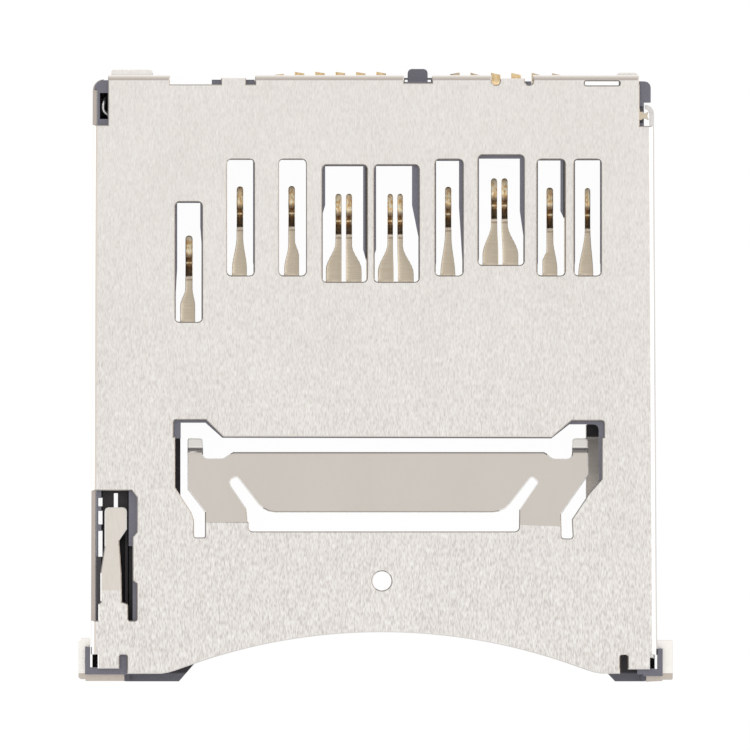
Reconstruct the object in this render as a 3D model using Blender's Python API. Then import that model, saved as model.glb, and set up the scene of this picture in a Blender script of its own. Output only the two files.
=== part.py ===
"""Push-push socket for a full-size memory card, reverse type, with the metal shell towards the viewer.

The named sizes are in millimetres, and MM turns them into metres where a mesh is made. X runs across
the card, the card goes in along +Y, and +Z points away from the circuit board, whose face is z = 0.
"""

import math
from typing import NamedTuple

import bmesh
import bpy
from mathutils import Matrix, Vector

MM = 0.001
BELOW = -1.0
ABOVE = 4.0

# Overall height, sheet and clearances
HEIGHT = 3.1
SHEET = 0.2
FIT = 0.03
RUN = 0.05
WALL_END_TOP = 1.9

# Shell
SHELL_LEFT = -13.81
SHELL_RIGHT = 13.67
LEFT_TAPER = 0.095
RIGHT_TAPER = 0.17
SHELL_REAR = 14.58
SHELL_FRONT = -14.45
WALL_FRONT = -13.51
WALL_FOOT = 0.12
FOLD_RADIUS = 0.25
INNER_RADIUS = 0.05
REAR_LIP_FOOT = 2.3
REAR_LIP_LEFT = (-5.84, 1.38)
REAR_LIP_RIGHT = (2.74, 12.78)
REAR_EDGE = 14.08
REAR_TAB_REACH = 14.87
REAR_STEP = (5.85, 7.4)
REAR_STEP_EDGE = 14.42
TAB_CORNER = 0.16
FRONT_ARC_RADIUS = 27.68
FRONT_ARC_TOP = -12.44
FRONT_ARC_X = 0.29
ARC_FILLET = 3.0
PEEP_HOLE = (0.31, -9.95)
PEEP_HOLE_RADIUS = 0.466
LEAF_ANGLE = 8.0
TIP_FALL_LINE = -3.71
TIP_FALL = 34.0
TIP_RISE_LINE = -3.50
TIP_RISE = 50.0
CURL_RADIUS = 0.22
TONGUE_ANGLE = 3.0

# Card and the plastic around it
CARD_LEFT = -11.4
CARD_WIDTH = 24.0
CARD_SIDE_GAP = 0.1
LEDGE = 0.25
LIP_CAP = 0.45
CARD_SPACE = 2.15
FLOOR = 0.47
STOP_FACE = 12.1
FLOOR_FRONT = -2.2
HOUSING_REAR = 14.28
HOUSING_FRONT = -14.49
HOUSING_FRONT_RIGHT = -14.57
REAR_BLOCK_RIGHT = 13.35
LIP_FRONT = -14.85
LUG = (1.56, 2.53)
LUG_REAR = 14.88
LUG_STEP = 14.45
LUG_GAP_LEFT = (LUG[0] - 0.14, LUG[0])
LUG_GAP_RIGHT = (LUG[1], LUG[1] + 0.16)
HOUSING_CORNER = 0.3
HOUSING_CORNER_REAR = 14.155
CAP_INSET = 0.05
POCKET_FOOT = 1.0

# Slider channel at the left of the card
CHANNEL_LEFT = -13.3
CHANNEL_WIDTH = 1.33
CHANNEL_FLOOR = 0.3
CHANNEL_FRONT = -12.3
CHANNEL_REAR = 13.75
CHANNEL_SLOTS = (-13.47, -13.26)

# Slider, its travel, spring and cam link
TRAVEL = 5.0
SLIDER_REAR = 5.3
CARD_STEP = 2.97
CARD_CORNER_REACH = 1.48
ARM_LOW = 1.0
SPRING_WIRE = 0.18
SPRING_DIAMETER = 1.1
SPRING_TURNS = 11
SPRING_HEIGHT = 1.5
PIN_DIAMETER = 0.5
LINK_WIRE = 0.26
LINK_PIVOT = (-12.8, -12.75)
FOLLOWER = (-12.93, -6.7)
CAM_SWING = 0.15
CAM_DEPTH = 0.75
CAM_GROOVE = 0.37

# Contacts
STRIP = 0.15
LEAD_COVER = 0.12
LEAD_WIDTH = 0.3
TAIL_WIDTH = 0.47
ROOT_WIDTH = 0.72
FINGER_SPLIT = 0.21
ROOT_DEPTH = 0.62
BEAM_LENGTH = 2.17
BEAM_ANGLE = 14
BEAM_ROWS = 10
WIPER_FALL = 44
WIPER_RISE = 52
TIP_ANGLE = 22
JOG_FRONT = 10.85
JOG_REAR = 13.4
LEAD_REAR = 14.165
TAIL_ENDS = (
    (14.62, 14.67), (14.765, 14.69), (14.77, 14.70), (14.765, 14.70), (14.76, 14.69), (14.765, 14.69),
    (14.62, 14.73), (14.72, 14.60), (14.72, 14.62), (14.72, 14.62), (14.73, 14.60), (14.71, 14.60),
)
TAIL_PITCH = 0.99
TAIL_START_LEFT = -4.68
TAIL_START_RIGHT = 3.86
TAILS_IN_LEFT_GROUP = 6
WINDOW_CORNER = 0.21


class Contact(NamedTuple):
    """One contact and the window over it.

    A flare is where an edge of the finger starts and ends to draw in from the wide root, measured from
    the window's front; short is how much shorter than the others its beam is; a ledge is the (width,
    length, taper) of the plastic seen in the window.
    """

    name: str
    centre: float
    fingers: int
    width: float
    flare_left: tuple
    flare_right: tuple
    front: float
    window: tuple
    length: float
    lead: float
    lean: float
    short: float
    ledge_left: tuple
    ledge_right: tuple
    ledge_rear: float


HIDDEN = (-0.05, 5.0, 0.1)
THIN = (0.05, 5.0, 0.1)
EVEN = (0.3, 1.85)
CONTACTS = (
    Contact("contact_9", -9.05, 1, 0.35, (0.8, 1.6), (0.8, 1.6), 2.61, (-9.72, -8.41), 5.82,
            -10.15, -0.06, 0.17, (0.1, 3.2, 1.2), (0.09, 1.2, 0.8), 0.05),
    Contact("contact_1", -6.58, 1, 0.32, EVEN, EVEN, 4.86, (-7.20, -5.89), 5.63,
            -7.70, -0.02, 0.03, HIDDEN, THIN, 0.02),
    Contact("contact_2", -4.07, 1, 0.32, (0.3, 1.5), (0.95, 1.7), 4.86, (-4.68, -3.37), 5.63,
            -5.25, 0.0, 0.01, HIDDEN, HIDDEN, 0.02),
    Contact("contact_3", -1.54, 2, 0.30, (0.6, 1.9), (0.6, 1.75), 4.55, (-2.59, -0.41), 5.67,
            -2.98, 0.0, 0.08, (0.15, 1.94, 0.4), (0.19, 4.1, 0.6), 0.06),
    Contact("contact_4", 0.955, 2, 0.27, (0.5, 1.85), (0.4, 1.75), 4.55, (-0.07, 2.11), 5.67,
            -0.3, 0.03, 0.08, (0.1, 4.1, 0.2), (0.34, 1.94, 1.55), 0.05),
    Contact("contact_5", 3.53, 1, 0.31, (0.0, 2.1), (0.0, 1.9), 4.86, (2.89, 4.24), 5.63,
            2.42, -0.02, 0.05, THIN, (0.19, 2.3, 2.6), 0.07),
    Contact("contact_6", 6.01, 2, 0.30, (0.5, 1.95), (0.5, 1.95), 5.37, (4.97, 7.20), 5.33,
            4.52, 0.05, 0.15, THIN, (0.2, 2.7, 1.2), 0.17),
    Contact("contact_7", 8.46, 1, 0.33, (0.7, 1.2), (0.3, 1.7), 4.86, (7.83, 9.19), 5.63,
            7.42, 0.0, 0.09, THIN, (0.22, 2.5, 0.4), 0.05),
    Contact("contact_8", 10.29, 1, 0.27, (0.0, 2.2), (0.0, 2.2), 4.86, (9.63, 10.94), 5.63,
            9.3, -0.09, 0.11, THIN, THIN, 0.04),
)

# Sizes that follow from those above
PLATE_UNDER = HEIGHT - SHEET
FLOOR_TOP = PLATE_UNDER - FIT
FLOOR_UNDER = FLOOR_TOP - FLOOR
CARD_RIGHT = CARD_LEFT + CARD_WIDTH
POCKET_LEFT = CARD_LEFT - CARD_SIDE_GAP
POCKET_RIGHT = CARD_RIGHT + CARD_SIDE_GAP
CHANNEL_RIGHT = CHANNEL_LEFT + CHANNEL_WIDTH
CHANNEL_MIDDLE = CHANNEL_LEFT + CHANNEL_WIDTH / 2
SLIDER_LEFT = CHANNEL_LEFT + RUN
SLIDER_RIGHT = CHANNEL_RIGHT - RUN
SLIDER_FRONT = CHANNEL_FRONT + RUN
SLIDER_FOOT = CHANNEL_FLOOR + RUN
SLIDER_TOP = FLOOR_UNDER - RUN
LINK_HEIGHT = SLIDER_TOP + FIT + LINK_WIRE / 2
LEAD_TOP = FLOOR_TOP - LEAD_COVER
LEAD_UNDER = LEAD_TOP - STRIP


def wall_x(side, y):
    """Outer face of a side wall at y; side is -1 left or 1 right. The shell opens a little to the front."""
    share = (y - SHELL_FRONT) / (SHELL_REAR - SHELL_FRONT)
    if side < 0:
        return SHELL_LEFT + LEFT_TAPER * share
    return SHELL_RIGHT - RIGHT_TAPER * share


def housing_x(side, y):
    """Side of the housing at y, a fit inside the shell's wall."""
    return wall_x(side, y) - side * (SHEET + FIT)


def rounded(corners, steps=3):
    """Outline through (x, y) or (x, y, radius) corners, with an arc of steps + 1 points at each radius."""
    outline = []
    for i, corner in enumerate(corners):
        here = Vector(corner[:2])
        if len(corner) == 2:
            outline.append(tuple(here))
            continue
        back = (Vector(corners[i - 1][:2]) - here).normalized()
        ahead = (Vector(corners[(i + 1) % len(corners)][:2]) - here).normalized()
        half = back.angle(ahead) / 2
        centre = here + (back + ahead).normalized() * corner[2] / math.sin(half)
        start = here + back * corner[2] / math.tan(half) - centre
        sweep = math.pi - 2 * half
        if back.cross(ahead) > 0:
            sweep = -sweep
        for step in range(steps + 1):
            turned = Matrix.Rotation(sweep * step / steps, 2) @ start
            outline.append(tuple(centre + turned))
    return outline


def rectangle(x, y, radius=0.0):
    corners = ((x[0], y[0]), (x[1], y[0]), (x[1], y[1]), (x[0], y[1]))
    if radius:
        return rounded([(*corner, radius) for corner in corners])
    return list(corners)


def circle(centre, radius, sides):
    angles = [2 * math.pi * side / sides for side in range(sides)]
    return [(centre[0] + radius * math.cos(a), centre[1] + radius * math.sin(a)) for a in angles]


def metres(point):
    """A point in metres, snapped to a fine grid so that faces meant to be level with each other are."""
    return tuple(round(value, 5) * MM for value in point)


def loft(name, rings):
    """Closed solid through rings of (x, y, z) in millimetres, with a flat cap at each end."""
    mesh = bmesh.new()
    loops = [[mesh.verts.new(metres(point)) for point in ring] for ring in rings]
    for lower, upper in zip(loops, loops[1:]):
        for i in range(len(lower)):
            j = (i + 1) % len(lower)
            mesh.faces.new((lower[i], lower[j], upper[j], upper[i]))
    mesh.faces.new(loops[0][::-1])
    mesh.faces.new(loops[-1])
    bmesh.ops.recalc_face_normals(mesh, faces=mesh.faces)
    data = bpy.data.meshes.new(name)
    mesh.to_mesh(data)
    mesh.free()
    solid = bpy.data.objects.new(name, data)
    bpy.context.scene.collection.objects.link(solid)
    return solid


def prism(name, outline, low, high):
    return loft(name, [[(x, y, z) for x, y in outline] for z in (low, high)])


def box(x, y, z):
    return prism("box", rectangle(x, y), *z)


def combine(target, operation, tools):
    """Joins each tool to the target, or cuts it from the target, and removes the tool."""
    for tool in tools:
        modifier = target.modifiers.new("shape", "BOOLEAN")
        modifier.operation = operation
        modifier.solver = "EXACT"
        modifier.object = tool
        graph = bpy.context.evaluated_depsgraph_get()
        shaped = bpy.data.meshes.new_from_object(target.evaluated_get(graph))
        target.modifiers.clear()
        target.data = shaped
        bpy.data.objects.remove(tool)
    return target


def add(target, *tools):
    return combine(target, "UNION", tools)


def cut(target, *tools):
    return combine(target, "DIFFERENCE", tools)


def bend(sheet, line, height, angle, between=(-99.0, 99.0)):
    """Turns what lies left of the line (x, y) to (x, y) about that line; a positive angle lifts it."""
    start, end = (Vector((*point, height)) * MM for point in line)
    along = (end - start).normalized()
    outward = Vector((0, 0, 1)).cross(along)
    mesh = bmesh.new()
    mesh.from_mesh(sheet.data)
    everything = mesh.verts[:] + mesh.edges[:] + mesh.faces[:]
    bmesh.ops.bisect_plane(mesh, geom=everything, plane_co=start, plane_no=outward, dist=1e-8)
    turn = Matrix.Rotation(math.radians(angle), 3, along)
    for vert in mesh.verts:
        inside = between[0] * MM < vert.co.x < between[1] * MM
        if inside and (vert.co - start).dot(outward) > 1e-7:
            vert.co = start + turn @ (vert.co - start)
    mesh.to_mesh(sheet.data)
    mesh.free()


def curl(sheet, line_y, height, angle):
    """Bends what lies behind the line at line_y in small steps, so that the sheet curls up or down."""
    steps = max(2, round(abs(angle) / 10))
    spacing = CURL_RADIUS * math.radians(abs(angle)) / steps
    for step in reversed(range(steps)):
        y = line_y + step * spacing
        bend(sheet, ((-12.0, y), (12.0, y)), height, angle / steps)


def strip_path(start, heading, moves):
    """Points (y, z, heading) along a bent strip; a move is ("run", length) or ("turn", radius, degrees)."""
    y, z = start
    heading = math.radians(heading)
    path = [(y, z, heading)]
    for kind, size, *turn in moves:
        if kind == "run":
            y += size * math.cos(heading)
            z += size * math.sin(heading)
            path.append((y, z, heading))
            continue
        angle = math.radians(turn[0])
        steps = max(1, round(abs(turn[0]) / 22))
        chord = 2 * size * math.sin(abs(angle) / steps / 2)
        for _ in range(steps):
            heading += angle / steps / 2
            y += chord * math.cos(heading)
            z += chord * math.sin(heading)
            heading += angle / steps / 2
            path.append((y, z, heading))
    return path


def ribbon(name, path, edges, thickness, skew=0.0):
    """Strip along a path of (y, z, heading); edges(i) gives its left and right x, skew slants its end."""
    rings = []
    for i, (y, z, heading) in enumerate(path):
        up_y = -math.sin(heading) * thickness / 2
        up_z = math.cos(heading) * thickness / 2
        left, right = edges(i)
        slant = skew if i == len(path) - 1 else 0.0
        rings.append([
            (left, y - up_y + slant, z - up_z),
            (right, y - up_y, z - up_z),
            (right, y + up_y, z + up_z),
            (left, y + up_y + slant, z + up_z),
        ])
    return loft(name, rings)


def wire(name, points, diameter, rounds=2):
    """Closed round wire through (x, y, z) points."""
    curve = bpy.data.curves.new(name, "CURVE")
    curve.dimensions = "3D"
    curve.bevel_depth = diameter / 2 * MM
    curve.bevel_resolution = rounds
    curve.use_fill_caps = True
    spline = curve.splines.new("POLY")
    spline.points.add(len(points) - 1)
    for point, place in zip(spline.points, points):
        point.co = (*(Vector(place) * MM), 1.0)
    made = bpy.data.objects.new(name, curve)
    bpy.context.scene.collection.objects.link(made)
    return made


def finished(piece, finish):
    """Gives the piece its one material."""
    piece.data.materials.clear()
    piece.data.materials.append(finish)
    return piece


def material(name, colour, roughness, metallic):
    made = bpy.data.materials.new(name)
    made.use_nodes = True
    shader = made.node_tree.nodes["Principled BSDF"]
    shader.inputs["Base Color"].default_value = (*colour, 1.0)
    shader.inputs["Roughness"].default_value = roughness
    shader.inputs["Metallic"].default_value = metallic
    made.diffuse_color = (*colour, 1.0)
    return made


# Contact windows and the plastic slots under them
def window_outline(contact, grow=0.0):
    x = (contact.window[0] - grow, contact.window[1] + grow)
    y = (contact.front - grow, contact.front + contact.length + grow)
    return rectangle(x, y, WINDOW_CORNER)


def slot_outline(contact):
    """Slot in the contact floor: the window's shape, drawn in by the ledges of plastic seen through it."""
    left, right = contact.window
    rear = contact.front + contact.length
    end = rear - contact.ledge_rear
    wide_l, long_l, taper_l = contact.ledge_left
    wide_r, long_r, taper_r = contact.ledge_right
    low_l = wide_l if wide_l < 0 else FIT
    low_r = wide_r if wide_r < 0 else FIT
    return [
        (left + low_l, contact.front),
        (right - low_r, contact.front),
        (right - low_r, rear - long_r - taper_r),
        (right - wide_r, rear - long_r),
        (right - wide_r, end),
        (left + wide_l, end),
        (left + wide_l, rear - long_l),
        (left + low_l, rear - long_l - taper_l),
    ]


# Contacts
def tail_place(index):
    if index < TAILS_IN_LEFT_GROUP:
        return TAIL_START_LEFT + index * TAIL_PITCH
    return TAIL_START_RIGHT + (index - TAILS_IN_LEFT_GROUP) * TAIL_PITCH


def root_span(contact):
    """Left and right edge of the wide root from which the fingers spring."""
    half = ROOT_WIDTH / 2
    if contact.fingers == 2:
        half = ROOT_WIDTH + FINGER_SPLIT / 2 + 0.04
    middle = contact.centre + contact.lean
    return middle - half, middle + half


def contact_plan(contact, tail, grow=0.0):
    """Flat part of a contact seen from above: the root, the lead beside the window and the jog to the tail."""
    half = LEAD_WIDTH / 2 + grow
    tail_half = TAIL_WIDTH / 2 + grow
    root_right = root_span(contact)[1] + grow
    root_rear = contact.front - 0.1 + grow
    root_front = contact.front - ROOT_DEPTH - grow
    rear = LEAD_REAR - STRIP + grow
    return [
        (contact.lead - half, root_front),
        (root_right, root_front),
        (root_right, root_rear),
        (contact.lead + half, root_rear),
        (contact.lead + half, JOG_FRONT),
        (tail + tail_half, JOG_REAR),
        (tail + tail_half, rear),
        (tail - tail_half, rear),
        (tail - tail_half, JOG_REAR),
        (contact.lead - half, JOG_FRONT),
    ]


def solder_tail(index):
    """The strip that turns down behind the housing and out along the board, with its slanted sheared end."""
    left_end, right_end = TAIL_ENDS[index]
    turn = STRIP
    drop = LEAD_TOP - STRIP / 2 - STRIP / 2 - 2 * turn
    start = (LEAD_REAR - turn - 0.12, LEAD_TOP - STRIP / 2)
    path = strip_path(start, 0, [
        ("run", 0.12),
        ("turn", turn, -90),
        ("run", drop),
        ("turn", turn, 90),
    ])
    path.append((right_end, STRIP / 2, 0.0))
    tail = tail_place(index)
    edges = (tail - TAIL_WIDTH / 2, tail + TAIL_WIDTH / 2)
    return ribbon("tail", path, lambda i: edges, STRIP, skew=left_end - right_end)


ROOT_RUN = 0.3
ROOT_RADIUS = 0.5
WIPER_BENDS = (
    ("turn", 0.08, BEAM_ANGLE - WIPER_FALL),
    ("run", 0.88),
    ("turn", 0.16, WIPER_FALL + WIPER_RISE),
    ("run", 0.16),
    ("turn", 0.35, -WIPER_RISE - TIP_ANGLE),
    ("run", 0.60),
    ("run", 0.12),
)
TIP_SHARE = 0.62


def drawn_in(travelled, flare):
    """How far an edge has drawn in from the root, 0 to 1, on a smooth curve along its flare."""
    share = min(1.0, max(0.0, (travelled - flare[0]) / (flare[1] - flare[0])))
    return share * share * (3 - 2 * share)


def finger(contact, side):
    """One sprung finger; side is 0 for a single finger, -1 or 1 for the left or right one of a pair."""
    beam = [("run", (BEAM_LENGTH - contact.short) / BEAM_ROWS)] * BEAM_ROWS
    bends = [("run", ROOT_RUN), ("turn", ROOT_RADIUS, -BEAM_ANGLE), *beam, *WIPER_BENDS]
    path = strip_path((contact.front - ROOT_RUN, LEAD_TOP - STRIP / 2), 0, bends)
    middle = contact.centre + side * (FINGER_SPLIT + contact.width) / 2
    left, right = middle - contact.width / 2, middle + contact.width / 2
    root_left, root_right = root_span(contact)
    gap = contact.centre + contact.lean + side * FINGER_SPLIT / 2
    if side == 1:
        root_left = gap
    elif side == -1:
        root_right = gap

    def edges(i):
        travelled = path[i][0] - contact.front
        if i == len(path) - 1:
            half = contact.width / 2 * TIP_SHARE
            return middle - half, middle + half
        return (
            root_left + (left - root_left) * drawn_in(travelled, contact.flare_left),
            root_right + (right - root_right) * drawn_in(travelled, contact.flare_right),
        )

    return ribbon("finger", path, edges, STRIP)


def make_contact(contact, index, finish):
    strip = prism(contact.name, contact_plan(contact, tail_place(index)), LEAD_UNDER, LEAD_TOP)
    sides = (0,) if contact.fingers == 1 else (-1, 1)
    add(strip, *[finger(contact, side) for side in sides], solder_tail(index))
    return finished(strip, finish)


def tail_groove(tail):
    half = TAIL_WIDTH / 2 + FIT
    return box((tail - half, tail + half), (LEAD_REAR - STRIP - FIT, 15.0), (BELOW, ABOVE))


# Switch terminals at the right of the contact floor
class Switch(NamedTuple):
    """One switch terminal: its lane beside the contacts, where its blade springs from and where it turns."""

    name: str
    lane: float
    front: float
    turn: float


CARD_SWITCH = Switch("card_detect_terminal", 11.45, 8.6, 10.9)
PROTECT_SWITCH = Switch("write_protect_terminal", 12.2, 4.2, 11.25)
BLADE_SLOT = 2.9
COMMON_END = (12.83, 13.26)
STAR_TOP = 12.82
COMMON_LANE = 12.95
COMMON_SLANT = 0.95


def switch_plan(switch, tail, grow=0.0):
    half = LEAD_WIDTH / 2 + grow
    tail_half = TAIL_WIDTH / 2 + grow
    front = switch.front - 0.1 - grow
    rear = LEAD_REAR - STRIP + grow
    return [
        (switch.lane - half, front),
        (switch.lane + half, front),
        (switch.lane + half, switch.turn),
        (tail + tail_half, JOG_REAR),
        (tail + tail_half, rear),
        (tail - tail_half, rear),
        (tail - tail_half, JOG_REAR),
        (switch.lane - half, switch.turn),
    ]


def common_plan(tail, grow=0.0):
    half = LEAD_WIDTH / 2 + grow
    tail_half = TAIL_WIDTH / 2 + grow
    rear = LEAD_REAR - STRIP + grow
    end = COMMON_END[0] - 0.05 + grow
    return [
        (tail + COMMON_SLANT, COMMON_LANE - half),
        (end, COMMON_LANE - half),
        (end, COMMON_LANE + half),
        (tail + COMMON_SLANT + 0.1, COMMON_LANE + half),
        (tail + tail_half, JOG_REAR),
        (tail + tail_half, rear),
        (tail - tail_half, rear),
        (tail - tail_half, JOG_REAR),
    ]


def switch_slot(switch):
    half = LEAD_WIDTH / 2 + 2 * RUN
    x = (switch.lane - half, switch.lane + half)
    return box(x, (switch.front - BLADE_SLOT, switch.front), (FLOOR_UNDER - 0.2, ABOVE))


def make_switch_terminal(switch, index, finish):
    """Lead in the contact floor whose front end is bent down as a blade that the card pushes up."""
    strip = prism(switch.name, switch_plan(switch, tail_place(index)), LEAD_UNDER, LEAD_TOP)
    path = strip_path((switch.front + 0.2, LEAD_TOP - STRIP / 2), 180, [
        ("run", 0.4),
        ("turn", 0.3, 24),
        ("run", 1.5),
        ("turn", 0.3, -50),
        ("run", 0.5),
    ])
    edges = (switch.lane - LEAD_WIDTH / 2, switch.lane + LEAD_WIDTH / 2)
    add(strip, ribbon("blade", path, lambda i: edges, STRIP), solder_tail(index))
    return finished(strip, finish)


def make_common_terminal(index, finish):
    """Lead across the rear block to the star-shaped end in the housing's rear right corner."""
    strip = prism("switch_common_terminal", common_plan(tail_place(index)), LEAD_UNDER, LEAD_TOP)
    left, right = COMMON_END
    middle = (left + right) / 2
    end = prism("end", [
        (left - 0.1, STAR_TOP),
        (left + 0.12, STAR_TOP),
        (middle, STAR_TOP - 0.11),
        (right, STAR_TOP),
        (right - 0.08, STAR_TOP - 0.2),
        (right, STAR_TOP - 0.42),
        (middle, STAR_TOP - 0.33),
        (left, STAR_TOP - 0.45),
        (left - 0.1, STAR_TOP - 0.3),
    ], LEAD_UNDER, LEAD_TOP)
    stem = prism("stem", rectangle((left - 0.1, left), (STAR_TOP - 0.1, COMMON_LANE)), LEAD_UNDER, LEAD_TOP)
    add(strip, stem, end, solder_tail(index))
    return finished(strip, finish)


# Leaf at the inner edge of the right ledge, which lifts the card against the contacts
GUIDE_X = (10.22, 10.93)
GUIDE_REAR = -2.4
GUIDE_EDGE = -2.97
GUIDE_FRONT = -6.6
GUIDE_STRIP = 0.12
SIDE_RAIL = 10.83


def make_guide_spring(finish):
    path = strip_path((GUIDE_REAR, FIT + GUIDE_STRIP / 2), 180, [
        ("run", GUIDE_REAR - GUIDE_EDGE),
        ("turn", 0.4, -22),
        ("run", 0.7),
        ("run", 1.1),
        ("turn", 1.2, 34),
        ("run", 0.6),
    ])
    return finished(ribbon("card_guide_spring", path, lambda i: GUIDE_X, GUIDE_STRIP), finish)


def guide_cuts():
    """Pocket for the leaf's root, open to the board, and the room in the ledge that it springs in."""
    x = (GUIDE_X[0] - FIT, GUIDE_X[1] + FIT)
    root = box(x, (GUIDE_EDGE - 0.1, GUIDE_REAR + FIT), (BELOW, GUIDE_STRIP + 2 * FIT))
    room = box((GUIDE_X[0] - 1.0, GUIDE_X[1] + FIT), (GUIDE_FRONT, GUIDE_EDGE), (BELOW, LEDGE + 0.1))
    return [root, room]


# Shell
def channel_profile(y):
    """Plate with its two side walls, as one bent sheet, in the plane at y."""
    left, right = wall_x(-1, y), wall_x(1, y)
    return rounded([
        (left, WALL_FOOT),
        (left + SHEET, WALL_FOOT),
        (left + SHEET, PLATE_UNDER, INNER_RADIUS),
        (right - SHEET, PLATE_UNDER, INNER_RADIUS),
        (right - SHEET, WALL_FOOT),
        (right, WALL_FOOT),
        (right, HEIGHT, FOLD_RADIUS),
        (left, HEIGHT, FOLD_RADIUS),
    ], 4)


def folded_channel():
    """The plate and its side walls carried along Y."""
    ends = (SHELL_FRONT, SHELL_REAR - FOLD_RADIUS - SHEET)
    return loft("shell_cover", [[(x, y, z) for x, z in channel_profile(y)] for y in ends])


def rear_fold(left, right, foot, flare=0.0):
    """A stretch of the rear wall: the plate runs back, turns down and may flare out into a solder tab."""
    start = SHELL_REAR - 1.2
    middle = FOLD_RADIUS - SHEET / 2
    runs = [
        ("run", 1.2 - FOLD_RADIUS),
        ("turn", middle, -90),
        ("run", HEIGHT - FOLD_RADIUS - foot - (FOLD_RADIUS if flare else 0.0)),
    ]
    if flare:
        runs.append(("turn", middle, 90))
    path = strip_path((start, HEIGHT - SHEET / 2), 0, runs)
    insets = [0.0] * len(path)
    if flare:
        turns = [math.radians(angle) for angle in (0, 30, 60, 90)]
        path += [(flare - TAB_CORNER + TAB_CORNER * math.sin(turn), SHEET / 2, 0.0) for turn in turns]
        insets += [TAB_CORNER * (1 - math.cos(turn)) for turn in turns]
    return ribbon("fold", path, lambda i: (left + insets[i], right - insets[i]), SHEET)


def quarter(side, centre, radius):
    """Points of a quarter arc from the side round to the rear; side is -1 left or 1 right."""
    turns = [math.radians(angle) for angle in range(0, 91, 15)]
    return [(centre[0] + side * radius * math.cos(t), centre[1] + radius * math.sin(t)) for t in turns]


def wall_end(side, centre, radius):
    """Stretch of side wall that turns in round a rear corner."""
    outline = quarter(side, centre, radius) + quarter(side, centre, radius - SHEET)[::-1]
    return prism("wall_end", outline, WALL_FOOT, WALL_END_TOP)


def corner_centre(radius):
    """Centre (x, y) of the arcs at the housing's rear left corner, radius being the wall's outer one."""
    y = HOUSING_CORNER_REAR - HOUSING_CORNER
    return wall_x(-1, y) + radius, y


def front_trim():
    """All that lies in front of the shell's front edge, with the two notches at each corner."""
    out = 15.5
    far = -18.0
    return prism("front_trim", rounded([
        (-out, WALL_FRONT),
        (-13.47, WALL_FRONT),
        (-13.47, -14.2),
        (-12.42, -14.2),
        (-12.42, -13.52, 0.12),
        (-12.05, -13.52, 0.12),
        (-12.05, SHELL_FRONT),
        (11.86, SHELL_FRONT - 0.02),
        (11.86, -13.53, 0.12),
        (12.24, -13.53, 0.12),
        (12.24, -14.24),
        (13.31, -14.24),
        (13.31, WALL_FRONT - 0.03),
        (out, WALL_FRONT - 0.03),
        (out, far),
        (-out, far),
    ]), BELOW, ABOVE)


def front_arc():
    """The wide arc of the front edge, which runs out into the straight edge through a fillet at each end."""
    centre_y = FRONT_ARC_TOP - FRONT_ARC_RADIUS
    half_angle = 0.34
    steps = 36
    edge = SHELL_FRONT - 0.02
    fall = FRONT_ARC_RADIUS * math.cos(half_angle) + centre_y - edge
    corner_x = FRONT_ARC_RADIUS * math.sin(half_angle) + fall / math.tan(half_angle)
    outline = [(FRONT_ARC_X + corner_x + 1.0, edge), (FRONT_ARC_X + corner_x, edge, ARC_FILLET)]
    for step in range(steps + 1):
        angle = half_angle * (1 - 2 * step / steps)
        outline.append((FRONT_ARC_X + FRONT_ARC_RADIUS * math.sin(angle),
                        centre_y + FRONT_ARC_RADIUS * math.cos(angle)))
    outline += [(FRONT_ARC_X - corner_x, edge, ARC_FILLET), (FRONT_ARC_X - corner_x - 1.0, edge)]
    outline += [(FRONT_ARC_X - corner_x - 1.0, edge - 1.0), (FRONT_ARC_X + corner_x + 1.0, edge - 1.0)]
    return prism("front_arc", rounded(outline), BELOW, ABOVE)


REAR_SLOT = (10.13, 11.85)
RIGHT_WALL_REAR = 13.15
RIGHT_WALL_TURN = 0.42
LEAF_OPENING = [
    (-9.81, -2.14, 0.12), (-8.21, -2.14), (-7.39, -2.95), (8.57, -2.98), (9.50, -2.18), (11.09, -2.18, 0.14),
    (11.09, -2.99), (10.98, -2.99), (10.98, -5.0), (10.38, -5.67), (9.52, -6.97),
    (9.57, -7.89, 0.12), (9.02, -7.89, 0.12), (9.02, -7.26), (6.96, -7.26), (6.96, -7.55, 0.2),
    (-6.15, -7.55, 0.18), (-6.15, -7.10), (-8.27, -7.10), (-8.27, -7.84, 0.08), (-8.80, -7.84, 0.08),
    (-8.80, -7.0), (-8.92, -6.64), (-9.72, -5.41), (-9.72, -2.96), (-9.81, -2.96),
]

LEAF = [
    (-8.27, -7.5), (-8.27, -6.62), (-9.12, -5.48), (-9.12, -2.95, 0.12), (-8.38, -2.95, 0.15),
    (-8.36, -3.99, 0.2), (-7.38, -3.99, 0.35), (-6.96, -3.70, 0.3), (8.26, -3.70, 0.3), (8.58, -4.0, 0.35),
    (9.53, -4.0, 0.25), (9.55, -2.95, 0.15), (10.31, -2.95, 0.15), (10.33, -4.77), (10.16, -5.02),
    (9.00, -6.72), (9.02, -7.5), (6.96, -7.5), (6.97, -6.50), (7.88, -5.16, 0.12), (7.59, -4.84, 0.14),
    (6.20, -6.62, 1.05), (-5.375, -6.62, 1.05), (-6.70, -4.90, 0.09), (-7.25, -4.97, 0.26),
    (-6.27, -6.42, 0.2), (-6.16, -7.5),
]

TONGUE_OPENING = [
    (-15.0, -5.57), (-11.82, -5.57), (-11.57, -5.91), (-11.57, -7.57), (-11.78, -7.81),
    (-11.78, -9.93), (-11.58, -10.09), (-11.58, -11.88, 0.1), (-12.0, -11.88, 0.1),
    (-12.0, -11.07, 0.12), (-12.32, -10.96), (-13.3, -10.96), (-13.44, -11.07), (-13.44, -11.88),
    (-15.0, -11.88),
]

TONGUE = [
    (-12.4, -11.4), (-12.3, -10.92), (-12.32, -9.57), (-12.43, -7.99), (-12.06, -7.44),
    (-12.06, -6.38, 0.2), (-13.14, -6.38, 0.2), (-13.14, -8.26), (-13.34, -9.57), (-13.34, -10.92),
    (-13.2, -11.4),
]


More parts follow.
